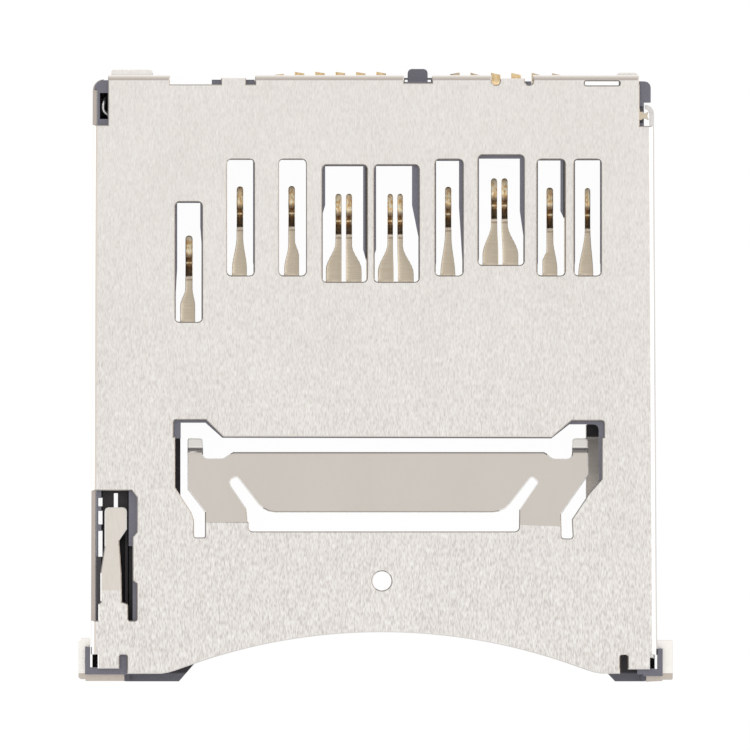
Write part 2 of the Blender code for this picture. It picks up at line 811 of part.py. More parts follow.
def make_shell(finish):
    shell = folded_channel()
    add(
        shell,
        rear_fold(-12.97, -9.97, 0.7),
        rear_fold(-12.86, -10.82, 0.0, REAR_TAB_REACH),
        rear_fold(*REAR_LIP_LEFT, REAR_LIP_FOOT),
        rear_fold(REAR_LIP_RIGHT[0], REAR_STEP[0], REAR_LIP_FOOT),
        rear_fold(REAR_STEP[1], REAR_LIP_RIGHT[1], REAR_LIP_FOOT),
        rear_fold(11.71, 12.73, 0.0, REAR_TAB_REACH - 0.14),
        box((REAR_STEP[0] - 0.1, REAR_STEP[1] + 0.1), (13.5, REAR_STEP_EDGE), (PLATE_UNDER, HEIGHT)),
        box((-7.49, -6.28), (13.5, 14.44), (PLATE_UNDER, HEIGHT)),
        box((-9.97, REAR_LIP_RIGHT[1]), (13.5, REAR_EDGE), (PLATE_UNDER, HEIGHT)),
        box((REAR_LIP_LEFT[1] - 0.1, REAR_LIP_RIGHT[0] + 0.1), (13.5, REAR_EDGE + 0.12), (PLATE_UNDER, HEIGHT)),
    )
    corner_rise = 2.55
    turned = HOUSING_CORNER + FIT + SHEET
    centre = corner_centre(turned)
    right_centre = (wall_x(1, RIGHT_WALL_REAR) - RIGHT_WALL_TURN, RIGHT_WALL_REAR - RIGHT_WALL_TURN)
    cut(
        shell,
        box((-15.0, -12.98), (centre[1], 14.4), (BELOW, corner_rise + 0.1)),
        box((12.83, 15.0), (right_centre[1], 14.25), (BELOW, corner_rise + 0.1)),
        front_trim(),
        front_arc(),
        prism("hole", circle(PEEP_HOLE, PEEP_HOLE_RADIUS, 28), PLATE_UNDER - 1, ABOVE),
        prism("opening", rounded(LEAF_OPENING), PLATE_UNDER - 0.3, ABOVE),
        prism("opening", rounded(TONGUE_OPENING), corner_rise, ABOVE),
        *[prism("window", window_outline(c), PLATE_UNDER - 0.3, ABOVE) for c in CONTACTS],
        box((-15, -12.97), (12.16, 16), (corner_rise, ABOVE)),
        box((12.8, 15), (12.11, 16), (corner_rise, ABOVE)),
        prism("slot", rectangle(REAR_SLOT, (14.08, SHELL_REAR - FOLD_RADIUS - 0.05), 0.08), PLATE_UNDER - 0.3, ABOVE),
        prism("notch", rounded([(5.63, 14.09, 0.2), (6.04, 14.09, 0.2), (6.04, 15), (5.63, 15)]), 2, ABOVE),
        prism("notch", rounded([(7.24, 14.09, 0.2), (7.65, 14.09, 0.2), (7.65, 15), (7.24, 15)]), 2, ABOVE),
        *[box(latch_span(x), (y, y + LATCH_LENGTH), LATCH_RISE) for x in (-14.5, 12.9) for y in LATCHES],
    )
    add(shell, wall_end(-1, centre, turned), wall_end(1, right_centre, RIGHT_WALL_TURN))
    leaf = prism("leaf", rounded(LEAF), PLATE_UNDER, HEIGHT)
    middle = HEIGHT - SHEET / 2
    curl(leaf, TIP_RISE_LINE, middle, TIP_RISE)
    curl(leaf, TIP_FALL_LINE, middle, -TIP_FALL)
    bend(leaf, ((-8.27, -7.10), (9.02, -7.26)), middle, -LEAF_ANGLE)
    tongue = prism("tongue", rounded(TONGUE), PLATE_UNDER, HEIGHT)
    bend(tongue, ((-13.34, -10.41), (-12.3, -10.41)), middle, -TONGUE_ANGLE)
    add(shell, leaf, tongue)
    return finished(shell, finish)


# Catches that hold the shell on the housing
LATCH_LENGTH = 1.9
LATCHES = (8.2, -3.4)
LATCH_RISE = (1.1, 1.9)


def latch_span(x):
    return x, x + 1.6


def latch_nub(side, y):
    """Ramped catch on the housing's side: almost level with the wall's outer face below, sloping in above."""
    low, high = LATCH_RISE
    outer = housing_x(side, y + LATCH_LENGTH)
    inner = outer - side * 0.15
    face = outer + side * 0.17
    y0 = y + FIT * 2
    y1 = y + LATCH_LENGTH - FIT * 2
    low += FIT * 2
    high -= FIT * 2
    profile = [(inner, low), (face, low), (face, low + 0.15), (outer, high), (inner, high)]
    return loft("nub", [[(x, at, z) for x, z in profile] for at in (y0, y1)])


# Housing
def housing_outline():
    rear = HOUSING_REAR
    front = WALL_FRONT - FIT
    front_right = front - 0.03
    turned_x = housing_x(-1, HOUSING_CORNER_REAR)
    return rounded([
        (housing_x(-1, front), front), (-13.75, front), (-13.75, -14.17), (-13.87, -14.17), (-13.87, -13.16),
        (-14.09, -13.16), (-14.09, HOUSING_FRONT), (13.0, HOUSING_FRONT), (13.0, HOUSING_FRONT_RIGHT),
        (13.93, HOUSING_FRONT_RIGHT), (13.93, -13.25), (13.69, -13.25), (13.69, -14.25), (13.56, -14.25),
        (13.56, front_right), (housing_x(1, front_right), front_right),
        (housing_x(1, 13.27), 13.27), (REAR_BLOCK_RIGHT, 13.27), (REAR_BLOCK_RIGHT, rear, HOUSING_CORNER),
        (REAR_SLOT[1] - FIT, rear), (REAR_SLOT[1] - FIT, 13.95),
        (REAR_SLOT[0] + FIT, 13.95), (REAR_SLOT[0] + FIT, rear), (REAR_LIP_RIGHT[0], rear),
        (REAR_LIP_RIGHT[0], LUG_STEP), (LUG[1], LUG_STEP), (LUG[1], LUG_REAR, 0.2), (LUG[0], LUG_REAR, 0.2),
        (LUG[0], LUG_STEP), (REAR_LIP_LEFT[1], LUG_STEP), (REAR_LIP_LEFT[1], rear),
        (-5.87, rear), (-5.87, 14.36), (-7.94, 14.36), (-7.94, 14.0), (-10.0, 14.0), (-10.0, rear),
        (-12.85, rear), (-12.85, HOUSING_CORNER_REAR), (turned_x, HOUSING_CORNER_REAR, HOUSING_CORNER),
    ])


def through_opening():
    """Opening between the two ledges, seen from the board side."""
    return rounded([
        (-9.55, -16.0), (-9.55, LIP_FRONT), (-8.75, -13.93), (-8.6, -13.5), (-8.6, -12.6), (-9.48, -11.7),
        (-9.48, 1.5), (-10.25, 2.2), (-10.25, 11.4, 0.4), (11.25, 11.4, 0.4), (11.25, 4.3),
        (10.26, 3.5), (10.26, GUIDE_EDGE), (10.4, GUIDE_EDGE), (10.4, -12.6), (11.30, HOUSING_FRONT),
        (11.64, LIP_FRONT), (11.64, -16.0),
    ])


def floor_front_opening():
    """What lies in front of the contact floor, whose front edge follows the leaf's window."""
    return rounded([
        (POCKET_LEFT, -16), (POCKET_RIGHT, -16), (POCKET_RIGHT, GUIDE_FRONT), (SIDE_RAIL, GUIDE_FRONT),
        (SIDE_RAIL, -2.36, 0.25), (9.40, -2.36), (8.53, -3.04), (-7.43, -3.01), (-8.25, -2.28), (-9.45, -2.28),
        (-9.45, -3.04), (POCKET_LEFT, -3.04),
    ])


def cam_branch(start, end, width):
    """Straight stretch of the cam groove with round ends."""
    a, b = Vector(start), Vector(end)
    along = (b - a).normalized()
    side = Vector((-along.y, along.x)) * width / 2
    outline = []
    steps = 6
    for centre, first in ((b, -side), (a, side)):
        for step in range(steps + 1):
            outline.append(tuple(centre + Matrix.Rotation(math.pi * step / steps, 2) @ first))
    return outline


def cam_groove():
    """Heart-shaped groove: the follower goes out along the left branch and comes back along the right."""
    rest = FOLLOWER
    out = (rest[0] + CAM_SWING, rest[1] - TRAVEL)
    back_x = SLIDER_RIGHT - 0.13 - CAM_GROOVE / 2
    lock = ((out[0] + back_x) / 2, out[1] + 0.7)
    legs = (
        (rest, out),
        (out, lock),
        (lock, (back_x, out[1] + 0.35)),
        ((back_x, out[1] + 0.35), (back_x, rest[1] - 1.1)),
        ((back_x, rest[1] - 1.1), rest),
    )
    return [prism("groove", cam_branch(a, b, CAM_GROOVE), SLIDER_TOP - CAM_DEPTH, ABOVE) for a, b in legs]


def corner_cap():
    """Plastic that laps over the turned end of the shell's wall at the rear left corner."""
    centre = corner_centre(HOUSING_CORNER + FIT + SHEET)
    radius = HOUSING_CORNER + FIT + SHEET - CAP_INSET
    outline = quarter(-1, (centre[0], centre[1] + FIT), radius - FIT)
    outline += [(-12.8, outline[-1][1]), (-12.8, centre[1] - 0.3), (centre[0], centre[1] - 0.3), (centre[0], centre[1] + FIT)]
    return prism("cap", outline, WALL_END_TOP + FIT, FLOOR_TOP)


def make_housing(finish):
    body = prism("housing", housing_outline(), 0.0, FLOOR_TOP)
    lips = (
        box((-12.15, -9.0), (LIP_FRONT, -14.0), (0.0, LEDGE)),
        box((11.0, 13.07), (LIP_FRONT, -14.0), (0.0, LEDGE)),
        box((-12.2, -11.95), (LIP_FRONT + 0.02, -14.0), (0.0, LIP_CAP)),
        box((12.9, 13.15), (LIP_FRONT + 0.02, -14.0), (0.0, LIP_CAP)),
    )
    add(body, *lips, corner_cap())
    tails = [tail_place(i) for i in range(2 * TAILS_IN_LEFT_GROUP)]
    floor_cuts = [prism("slot", slot_outline(c), FLOOR_UNDER - 0.2, ABOVE) for c in CONTACTS]
    plans = [contact_plan(c, tail, FIT) for c, tail in zip(CONTACTS, tails)]
    plans += [
        switch_plan(CARD_SWITCH, tails[9], FIT),
        switch_plan(PROTECT_SWITCH, tails[10], FIT),
        common_plan(tails[11], FIT),
    ]
    grooves = [prism("groove", plan, LEAD_UNDER - FIT, ABOVE) for plan in plans]
    roots = []
    for contact in CONTACTS:
        span = root_span(contact)
        across = (span[0] - FIT, span[1] + FIT)
        roots.append(box(across, (contact.front - 0.2, contact.front + 0.1), (LEAD_UNDER - FIT, ABOVE)))
    cut(
        body,
        box((POCKET_LEFT, POCKET_RIGHT), (-16, STOP_FACE), (LEDGE, FLOOR_UNDER)),
        prism("opening", through_opening(), BELOW, LEDGE + 0.1),
        prism("opening", floor_front_opening(), FLOOR_UNDER - 0.1, ABOVE),
        box((CHANNEL_LEFT, CHANNEL_RIGHT), (CHANNEL_FRONT, CHANNEL_REAR), (CHANNEL_FLOOR, FLOOR_UNDER)),
        box((CHANNEL_LEFT, CHANNEL_RIGHT), (CHANNEL_FRONT, FLOOR_FRONT), (FLOOR_UNDER - 0.1, ABOVE)),
        box((CHANNEL_RIGHT - 0.1, POCKET_LEFT + 0.1), (2.0, STOP_FACE), (ARM_LOW - RUN, FLOOR_UNDER)),
        box((CHANNEL_RIGHT - 0.1, -11.78), (CHANNEL_FRONT, -8.26), (SLIDER_TOP - 0.2, ABOVE)),
        *[box(CHANNEL_SLOTS, y, (BELOW, ABOVE)) for y in ((-6.34, -5.93), (-7.22, -6.56), (-8.79, -7.53))],
        box((-12.9, -12.3), (-7.5, -5.0), (BELOW, 1.0)),
        box((-13.37, -12.9), (12.45, 13.72), (SPRING_HEIGHT, ABOVE)),
        box((13.02, 15.0), (12.11, 13.27), (BELOW, ABOVE)),
        box((-13.8, -13.47), (-14.14, -13.5), (POCKET_FOOT, ABOVE)),
        box((13.31, 13.6), (-14.2, -13.53), (POCKET_FOOT, ABOVE)),
        *[box(x, (14.25, 14.38), (BELOW, ABOVE)) for x in (LUG_GAP_LEFT, LUG_GAP_RIGHT)],
        box((COMMON_END[0] - 0.15, 13.1), (COMMON_LANE - 0.7, COMMON_LANE + 0.12), (LEAD_UNDER - FIT, ABOVE)),
        box((CHANNEL_LEFT + 0.1, CHANNEL_RIGHT - 0.1), (-13.15, CHANNEL_FRONT + 0.1), (SLIDER_TOP - 0.05, ABOVE)),
        prism("pivot", circle(LINK_PIVOT, LINK_WIRE / 2 + RUN, 12), 1.2, ABOVE),
        switch_slot(CARD_SWITCH),
        switch_slot(PROTECT_SWITCH),
        *guide_cuts(),
        *floor_cuts,
        *roots,
        *grooves,
        *[tail_groove(tail) for tail in tails],
        *[tab_recess(corner) for corner in (LEFT_TAB, RIGHT_TAB)],
        *[tab_slot(corner) for corner in (LEFT_TAB, RIGHT_TAB)],
    )
    guide = wire_pin(CHANNEL_REAR + 0.2, CHANNEL_REAR - 1.6)
    nubs = [latch_nub(side, y) for side in (-1, 1) for y in LATCHES]
    add(body, guide, *nubs)
    return finished(body, finish)


def wire_pin(rear, front):
    """Round pin along Y that holds an end of the spring."""
    ring = circle((CHANNEL_MIDDLE, SPRING_HEIGHT), PIN_DIAMETER / 2, 12)
    return loft("pin", [[(x, y, z) for x, z in ring] for y in (front, rear)])


# Front solder tabs
class Tab(NamedTuple):
    """Flat L of a front solder tab, and the leg that stands in the housing's slot."""

    name: str
    plan: tuple
    leg_x: tuple
    leg_y: tuple


LEFT_TAB = Tab(
    "front_solder_tab_left",
    ((-14.43, -14.74, 0.14), (-14.09, -14.74), (-14.09, -14.83), (-12.12, -14.83), (-12.12, -14.3), (-12.4, -14.3),
     (-12.4, -13.4), (-13.3, -13.4), (-13.3, -14.3), (-13.9, -14.3), (-13.9, -13.12), (-13.87, -13.12),
     (-13.87, -12.74), (-14.43, -12.74, 0.2)),
    (-13.3, -12.4),
    (-13.6, -13.4),
)
RIGHT_TAB = Tab(
    "front_solder_tab_right",
    ((13.13, -14.87), (13.94, -14.83), (13.94, -14.77), (14.44, -14.77, 0.08), (14.44, -12.84, 0.06), (13.69, -12.84),
     (13.69, -13.22), (13.74, -13.22), (13.74, -14.34), (13.5, -14.34), (13.5, -13.5), (12.75, -13.5),
     (12.75, -14.34), (13.13, -14.34)),
    (12.75, 13.5),
    (-13.7, -13.5),
)


def make_tab(corner, finish):
    tab = prism(corner.name, rounded(corner.plan), 0.0, SHEET)
    add(tab, box(corner.leg_x, corner.leg_y, (SHEET / 2, 1.5)))
    return finished(tab, finish)


def tab_recess(corner):
    """Room under the housing for the flat of the tab, a fit wider all round."""
    xs = [point[0] for point in corner.plan]
    side = 1 if sum(xs) > 0 else -1
    inner = min(abs(x) for x in xs) - FIT
    x = sorted((side * inner, side * 15.5))
    return box(x, (-16.0, corner.leg_y[1] + FIT), (BELOW, SHEET + FIT))


def tab_slot(corner):
    x = (corner.leg_x[0] - FIT, corner.leg_x[1] + FIT)
    y = (corner.leg_y[0] - FIT, corner.leg_y[1] + FIT)
    return box(x, y, (BELOW, 1.5 + FIT))


# Moving pieces
def make_slider(finish):
    """Slide with the arm that meets the card's cut corner, the cam groove on top and the spring's pin."""
    slider = prism("slider", [
        (SLIDER_LEFT, SLIDER_FRONT), (SLIDER_RIGHT, SLIDER_FRONT), (SLIDER_RIGHT, SLIDER_REAR),
        (SLIDER_LEFT, SLIDER_REAR),
    ], SLIDER_FOOT, SLIDER_TOP)
    inner = CARD_LEFT + CARD_CORNER_REACH
    arm = prism("arm", [
        (SLIDER_RIGHT - 0.2, CARD_STEP - 0.35), (CARD_LEFT - 0.03, CARD_STEP),
        (inner, CARD_STEP + CARD_CORNER_REACH), (inner, SLIDER_REAR), (SLIDER_RIGHT - 0.2, SLIDER_REAR),
    ], ARM_LOW, SLIDER_TOP)
    add(slider, arm, wire_pin(SLIDER_REAR + 0.8, SLIDER_REAR - 0.1))
    slot = box((-12.71, -12.5), (-6.42, -5.7), (BELOW, ABOVE))
    cut(slider, *cam_groove(), slot)
    return finished(slider, finish)


def make_spring(finish):
    """Coil between the slider and the rear of its channel, with a closed turn at each end."""
    start = SLIDER_REAR + FIT + SPRING_WIRE / 2
    end = CHANNEL_REAR - FIT - SPRING_WIRE / 2
    radius = (SPRING_DIAMETER - SPRING_WIRE) / 2
    steps = 12
    points = []
    for step in range(SPRING_TURNS * steps + 1):
        turn = step / steps
        closed = SPRING_WIRE * 1.08
        open_turns = SPRING_TURNS - 2
        pitch = (end - start - 2 * closed) / open_turns
        if turn < 1:
            y = start + closed * turn
        elif turn > SPRING_TURNS - 1:
            y = end - closed * (SPRING_TURNS - turn)
        else:
            y = start + closed + pitch * (turn - 1)
        angle = 2 * math.pi * turn
        points.append((CHANNEL_MIDDLE + radius * math.cos(angle), y, SPRING_HEIGHT + radius * math.sin(angle)))
    spring = wire("coil_spring", points, SPRING_WIRE, 1)
    return finished(spring, finish)


def make_link(finish):
    """Bent wire: one leg turns in the housing, the other follows the cam groove."""
    pivot_x, pivot_y = LINK_PIVOT
    end_x, end_y = FOLLOWER
    corner = 0.2
    steps = 3
    low = 1.35
    foot = SLIDER_TOP - CAM_DEPTH + FIT
    along = Vector((end_x - pivot_x, end_y - pivot_y)).normalized()
    points = [(pivot_x, pivot_y, low)]
    for step in range(steps + 1):
        angle = math.pi / 2 * step / steps
        reach = corner * (1 - math.cos(angle))
        points.append((pivot_x + along.x * reach, pivot_y + along.y * reach,
                       LINK_HEIGHT - corner + corner * math.sin(angle)))
    for step in range(steps + 1):
        angle = math.pi / 2 * (1 - step / steps)
        reach = corner * (1 - math.cos(angle))
        points.append((end_x - along.x * reach, end_y - along.y * reach,
                       LINK_HEIGHT - corner + corner * math.sin(angle)))
    points.append((end_x, end_y, foot))
    pivot = Vector((pivot_x, pivot_y, LINK_HEIGHT))
    link = wire("cam_link", [tuple(Vector(p) - pivot) for p in points], LINK_WIRE)
    link.location = pivot * MM
    return finished(link, finish)


def main():
    for old in list(bpy.data.objects):
        bpy.data.objects.remove(old)
    steel = material("stainless_sheet", (0.74, 0.71, 0.67), 0.45, 1.0)
    tinned = material("tinned_sheet", (0.80, 0.76, 0.71), 0.4, 1.0)
    gold = material("gold_plated_strip", (0.78, 0.60, 0.34), 0.3, 1.0)
    plastic = material("black_moulding", (0.03, 0.03, 0.035), 0.55, 0.0)
    slide = material("slider_moulding", (0.02, 0.02, 0.022), 0.5, 0.0)
    spring = material("spring_wire", (0.55, 0.54, 0.52), 0.3, 1.0)
    fixed = [make_shell(steel), make_housing(plastic)]
    fixed += [make_contact(contact, index, gold) for index, contact in enumerate(CONTACTS)]
    fixed += [
        make_switch_terminal(CARD_SWITCH, 9, gold),
        make_switch_terminal(PROTECT_SWITCH, 10, gold),
        make_common_terminal(11, gold),
        make_guide_spring(tinned),
        make_tab(LEFT_TAB, tinned),
        make_tab(RIGHT_TAB, tinned),
    ]
    moving = [make_slider(slide), make_link(spring), make_spring(spring)]
    socket = bpy.data.objects.new("socket", None)
    bpy.context.scene.collection.objects.link(socket)
    for piece in fixed + moving:
        piece.parent = socket


main()
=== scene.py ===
# %% [markdown]
# # A memory card socket: looks
#
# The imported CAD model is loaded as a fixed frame. This file gives every piece its finish, makes finer
# surfaces for the thin sprung pieces, and sets up the studio. All work is in metres; MM turns the
# millimetres in which such a connector is drawn into metres.

import math

import bmesh
import bpy
import numpy as np
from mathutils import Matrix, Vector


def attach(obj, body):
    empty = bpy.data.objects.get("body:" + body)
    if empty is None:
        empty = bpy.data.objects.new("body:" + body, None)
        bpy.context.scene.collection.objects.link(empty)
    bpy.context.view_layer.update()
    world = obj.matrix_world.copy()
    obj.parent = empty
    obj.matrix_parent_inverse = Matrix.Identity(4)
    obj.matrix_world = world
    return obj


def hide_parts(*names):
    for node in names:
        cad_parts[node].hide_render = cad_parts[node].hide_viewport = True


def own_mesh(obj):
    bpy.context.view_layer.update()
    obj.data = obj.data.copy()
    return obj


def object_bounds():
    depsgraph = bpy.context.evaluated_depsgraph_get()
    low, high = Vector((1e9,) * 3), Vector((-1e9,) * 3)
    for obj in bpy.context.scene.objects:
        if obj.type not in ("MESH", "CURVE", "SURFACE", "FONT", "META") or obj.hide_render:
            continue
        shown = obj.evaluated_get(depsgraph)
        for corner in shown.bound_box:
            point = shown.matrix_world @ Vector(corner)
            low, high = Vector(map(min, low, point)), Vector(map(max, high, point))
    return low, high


MM = 0.001
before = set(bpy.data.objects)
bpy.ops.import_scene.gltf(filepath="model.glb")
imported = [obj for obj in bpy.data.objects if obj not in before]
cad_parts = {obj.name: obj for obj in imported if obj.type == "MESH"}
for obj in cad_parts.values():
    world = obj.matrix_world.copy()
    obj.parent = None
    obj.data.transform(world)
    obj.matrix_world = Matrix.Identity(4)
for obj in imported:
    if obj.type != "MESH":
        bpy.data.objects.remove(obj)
CAD_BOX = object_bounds()
TOP = CAD_BOX[1].z / MM
print("CAD box in mm:", [[round(value / MM, 2) for value in corner] for corner in CAD_BOX])

# %% [markdown]
# ## Finishes
#
# Each finish is a Principled shader fed by noise that reads Object coordinates, so that the grain has
# a real size in millimetres. Image textures would do the same, but they need a file and an unwrapped
# mesh. A small helper adds a node and sets its values, which keeps each finish down to a few lines.


# %% Node helpers
def new_finish(name):
    """A material with an empty Principled shader; returns the material, its tree and the shader."""
    made = bpy.data.materials.new(name)
    made.use_nodes = True
    return made, made.node_tree, made.node_tree.nodes["Principled BSDF"]


def add_node(tree, kind, settings=(), **values):
    """Adds a node; settings are properties of the node, values are its input sockets by name."""
    node = tree.nodes.new(kind)
    for name, value in dict(settings).items():
        setattr(node, name, value)
    for name, value in values.items():
        node.inputs[name.replace("_", " ")].default_value = value
    return node


def grain(tree, size_mm, detail=2.0, roughness=0.5):
    """Noise whose cells measure size_mm along X, Y and Z; returns its Fac socket."""
    place = add_node(tree, "ShaderNodeTexCoord")
    scale = add_node(tree, "ShaderNodeMapping")
    scale.inputs["Scale"].default_value = [1 / (size * MM) for size in size_mm]
    noise = add_node(tree, "ShaderNodeTexNoise", Scale=1.0, Detail=detail, Roughness=roughness)
    tree.links.new(place.outputs["Object"], scale.inputs["Vector"])
    tree.links.new(scale.outputs["Vector"], noise.inputs["Vector"])
    return noise.outputs["Fac"]


def ramp(tree, fac, stops):
    """Colour ramp on fac through (position, (r, g, b)) stops; returns its colour socket."""
    node = add_node(tree, "ShaderNodeValToRGB")
    while len(node.color_ramp.elements) < len(stops):
        node.color_ramp.elements.new(0.5)
    for element, (position, colour) in zip(node.color_ramp.elements, stops):
        element.position = position
        element.color = (*colour, 1.0)
    tree.links.new(fac, node.inputs["Fac"])
    return node.outputs["Color"]


def map_range(tree, fac, low, high, out_low, out_high):
    """Straight line from low..high to out_low..out_high, held at its ends."""
    node = add_node(tree, "ShaderNodeMapRange")
    for name, value in (("From Min", low), ("From Max", high), ("To Min", out_low), ("To Max", out_high)):
        node.inputs[name].default_value = value
    tree.links.new(fac, node.inputs["Value"])
    return node.outputs["Result"]


def mix_colour(tree, fac, first, second, blend="MIX"):
    """Mixes two colour sockets by fac, which is a socket or a number."""
    node = add_node(tree, "ShaderNodeMix", {"data_type": "RGBA", "blend_type": blend})
    if isinstance(fac, float):
        node.inputs[0].default_value = fac
    else:
        tree.links.new(fac, node.inputs[0])
    tree.links.new(first, node.inputs[6])
    tree.links.new(second, node.inputs[7])
    return node.outputs[2]


def bump(tree, shader, height, depth_mm, strength=1.0):
    """Relief from a height socket, depth_mm deep where the height runs from 0 to 1."""
    node = add_node(tree, "ShaderNodeBump", Strength=strength, Distance=depth_mm * MM)
    tree.links.new(height, node.inputs["Height"])
    tree.links.new(node.outputs["Normal"], shader.inputs["Normal"])


# %% [markdown]
# ### Rolled stainless sheet
#
# The sheet is pale and matt, with short pale and dark streaks in the direction of rolling (Y). Their
# contrast is stronger towards the front; the grain is the sheet's own, and that change is painted light.
# Where the press has drawn it, on the leaf and the tongue, it is smooth, and darker by painted shade for
# its slope. Its sheared edges have their own tone; its rolled-over rims and bends get tones of painted
# light and shade by the way each face turns, with a painted highlight on the leaf's rims and a faint band
# of painted shade where the leaf's tips turn up. Each face of the shell carries a number for its zone,
# and a stepped ramp turns the number into a tone. One texture for the whole sheet would be simpler, but
# would put the grain on the bent parts too.

# %% Stamped stainless sheet
# Zone tones: rolled, pressed and sheared are the sheet's own finishes; the leaf's smooth zone is darker by
# painted shade. The rims and the fold facets have tones of painted light and shade, picked by the way each
# face turns, and the leaf's rims have a painted highlight.
ZONES = {
    "rolled": (1.0, 1.0, 1.0),
    "smooth_and_shaded": (0.74, 0.687, 0.627),
    "pressed": (0.86, 0.825, 0.785),
    "sheared": (0.50, 0.44, 0.40),
    "rim": (0.42, 0.385, 0.36),
    "lit_rim": (0.74, 0.66, 0.59),
    "shaded_rim": (0.31, 0.29, 0.275),
    "leaf_rim": (0.95, 0.92, 0.88),
    "crease": (0.65, 0.585, 0.535),
    "bend": (0.99, 0.975, 0.955),
    "side_bend": (0.98, 0.90, 0.82),
    "outer_line": (0.72, 0.69, 0.67),
    "rear_bend": (0.70, 0.635, 0.573),
    "rear_foot": (0.84, 0.785, 0.74),
}
ZONE_STEP = 0.06
ZONE_CODES = {name: ZONE_STEP * place for place, name in enumerate(ZONES)}
WHITE = (1.0, 1.0, 1.0)
PLATE_DARK = (0.69, 0.653, 0.625)
PLATE_TONE = (0.875, 0.833, 0.787)
PLATE_LIGHT = (1.0, 0.985, 0.96)
PIT_TONE = (0.45, 0.43, 0.41)
CLOUD_TONE = (0.97, 0.968, 0.965)


def spots(tree, size_mm, low, high):
    """Round spots: 1 near the middle of each Voronoi cell, 0 beyond, for a cell of size_mm."""
    place = add_node(tree, "ShaderNodeTexCoord")
    scale = add_node(tree, "ShaderNodeMapping")
    scale.inputs["Scale"].default_value = [1 / (size * MM) for size in size_mm]
    cells = add_node(tree, "ShaderNodeTexVoronoi", Scale=1.0, Randomness=1.0)
    tree.links.new(place.outputs["Object"], scale.inputs["Vector"])
    tree.links.new(scale.outputs["Vector"], cells.inputs["Vector"])
    return map_range(tree, cells.outputs["Distance"], low, high, 1.0, 0.0)


def multiply(tree, first, second):
    """Product of two sockets."""
    node = add_node(tree, "ShaderNodeMath", {"operation": "MULTIPLY"})
    tree.links.new(first, node.inputs[0])
    tree.links.new(second, node.inputs[1])
    return node.outputs[0]


def along(tree, axis, low_mm, high_mm, at_low, at_high):
    """Value that changes evenly with Object X, Y or Z, from at_low to at_high."""
    place = add_node(tree, "ShaderNodeTexCoord")
    parts = add_node(tree, "ShaderNodeSeparateXYZ")
    tree.links.new(place.outputs["Object"], parts.inputs[0])
    return map_range(tree, parts.outputs[axis], low_mm * MM, high_mm * MM, at_low, at_high)


def attribute(tree, name):
    """The value of a mesh attribute."""
    return add_node(tree, "ShaderNodeAttribute", {"attribute_name": name}).outputs["Fac"]


def plain(tree, colour):
    """A colour as a socket, to be mixed with others."""
    node = add_node(tree, "ShaderNodeRGB")
    node.outputs[0].default_value = (*colour, 1.0)
    return node.outputs[0]


def streaked(tree):
    """Colour of the rolled face: noise drawn out along Y, its contrast set by how far forward it is."""
    fine = grain(tree, (0.055, 0.22, 0.22), 0.0, 0.5)
    coarse = grain(tree, (0.08, 0.36, 0.36), 1.0, 0.5)
    both = add_node(tree, "ShaderNodeMath", {"operation": "ADD"})
    tree.links.new(fine, both.inputs[0])
    tree.links.new(coarse, both.inputs[1])
    centred = add_node(tree, "ShaderNodeMath", {"operation": "SUBTRACT"})
    centred.inputs[1].default_value = 1.0
    tree.links.new(both.outputs[0], centred.inputs[0])
    shifted = add_node(tree, "ShaderNodeMath", {"operation": "MULTIPLY_ADD"})
    shifted.inputs[2].default_value = 0.5
    tree.links.new(centred.outputs[0], shifted.inputs[0])
    # The grain is the sheet's own; its stronger contrast towards the front is painted light, for the light
    # that shows it more there.
    contrast = along(tree, "Y", -13.0, 9.0, 0.8, 0.28)
    tree.links.new(contrast, shifted.inputs[1])
    tone = ramp(tree, shifted.outputs[0], [(0.22, PLATE_DARK), (0.5, PLATE_TONE), (0.78, PLATE_LIGHT)])
    pits = multiply(tree, spots(tree, (0.5, 0.7, 0.6), 0.05, 0.10), contrast)
    return mix_colour(tree, multiply(tree, pits, coarse), tone, plain(tree, PIT_TONE))


def tip_bend_shade(tree, formed, zone):
    """Faint band of painted shade across the leaf where its tips turn up; it only touches the leaf's own
    zones.
    """
    fades = [(0.0, WHITE), (0.3, (0.9, 0.89, 0.88)), (0.55, (0.8, 0.79, 0.78)), (0.75, (0.95, 0.955, 0.96))]
    shade_band = ramp(tree, along(tree, "Y", -3.85, -3.45, 0.0, 1.0), [*fades, (0.95, WHITE)])
    last = ZONE_CODES["pressed"] + 0.5 * ZONE_STEP
    on_leaf = multiply(tree, formed, map_range(tree, zone, last, last + 0.01, 1.0, 0.0))
    return mix_colour(tree, on_leaf, plain(tree, WHITE), shade_band)


def metal_but_rims(tree, zone):
    """1, but 0 on the leaf's rims, whose pale non-metal tone is a painted highlight."""
    code = ZONE_CODES["leaf_rim"]
    black = (0.0, 0.0, 0.0)
    mask = ramp(tree, zone, [(0.0, WHITE), (code - 0.5 * ZONE_STEP, black), (code + 0.5 * ZONE_STEP, WHITE)])
    tree.nodes[-1].color_ramp.interpolation = "CONSTANT"
    return mask


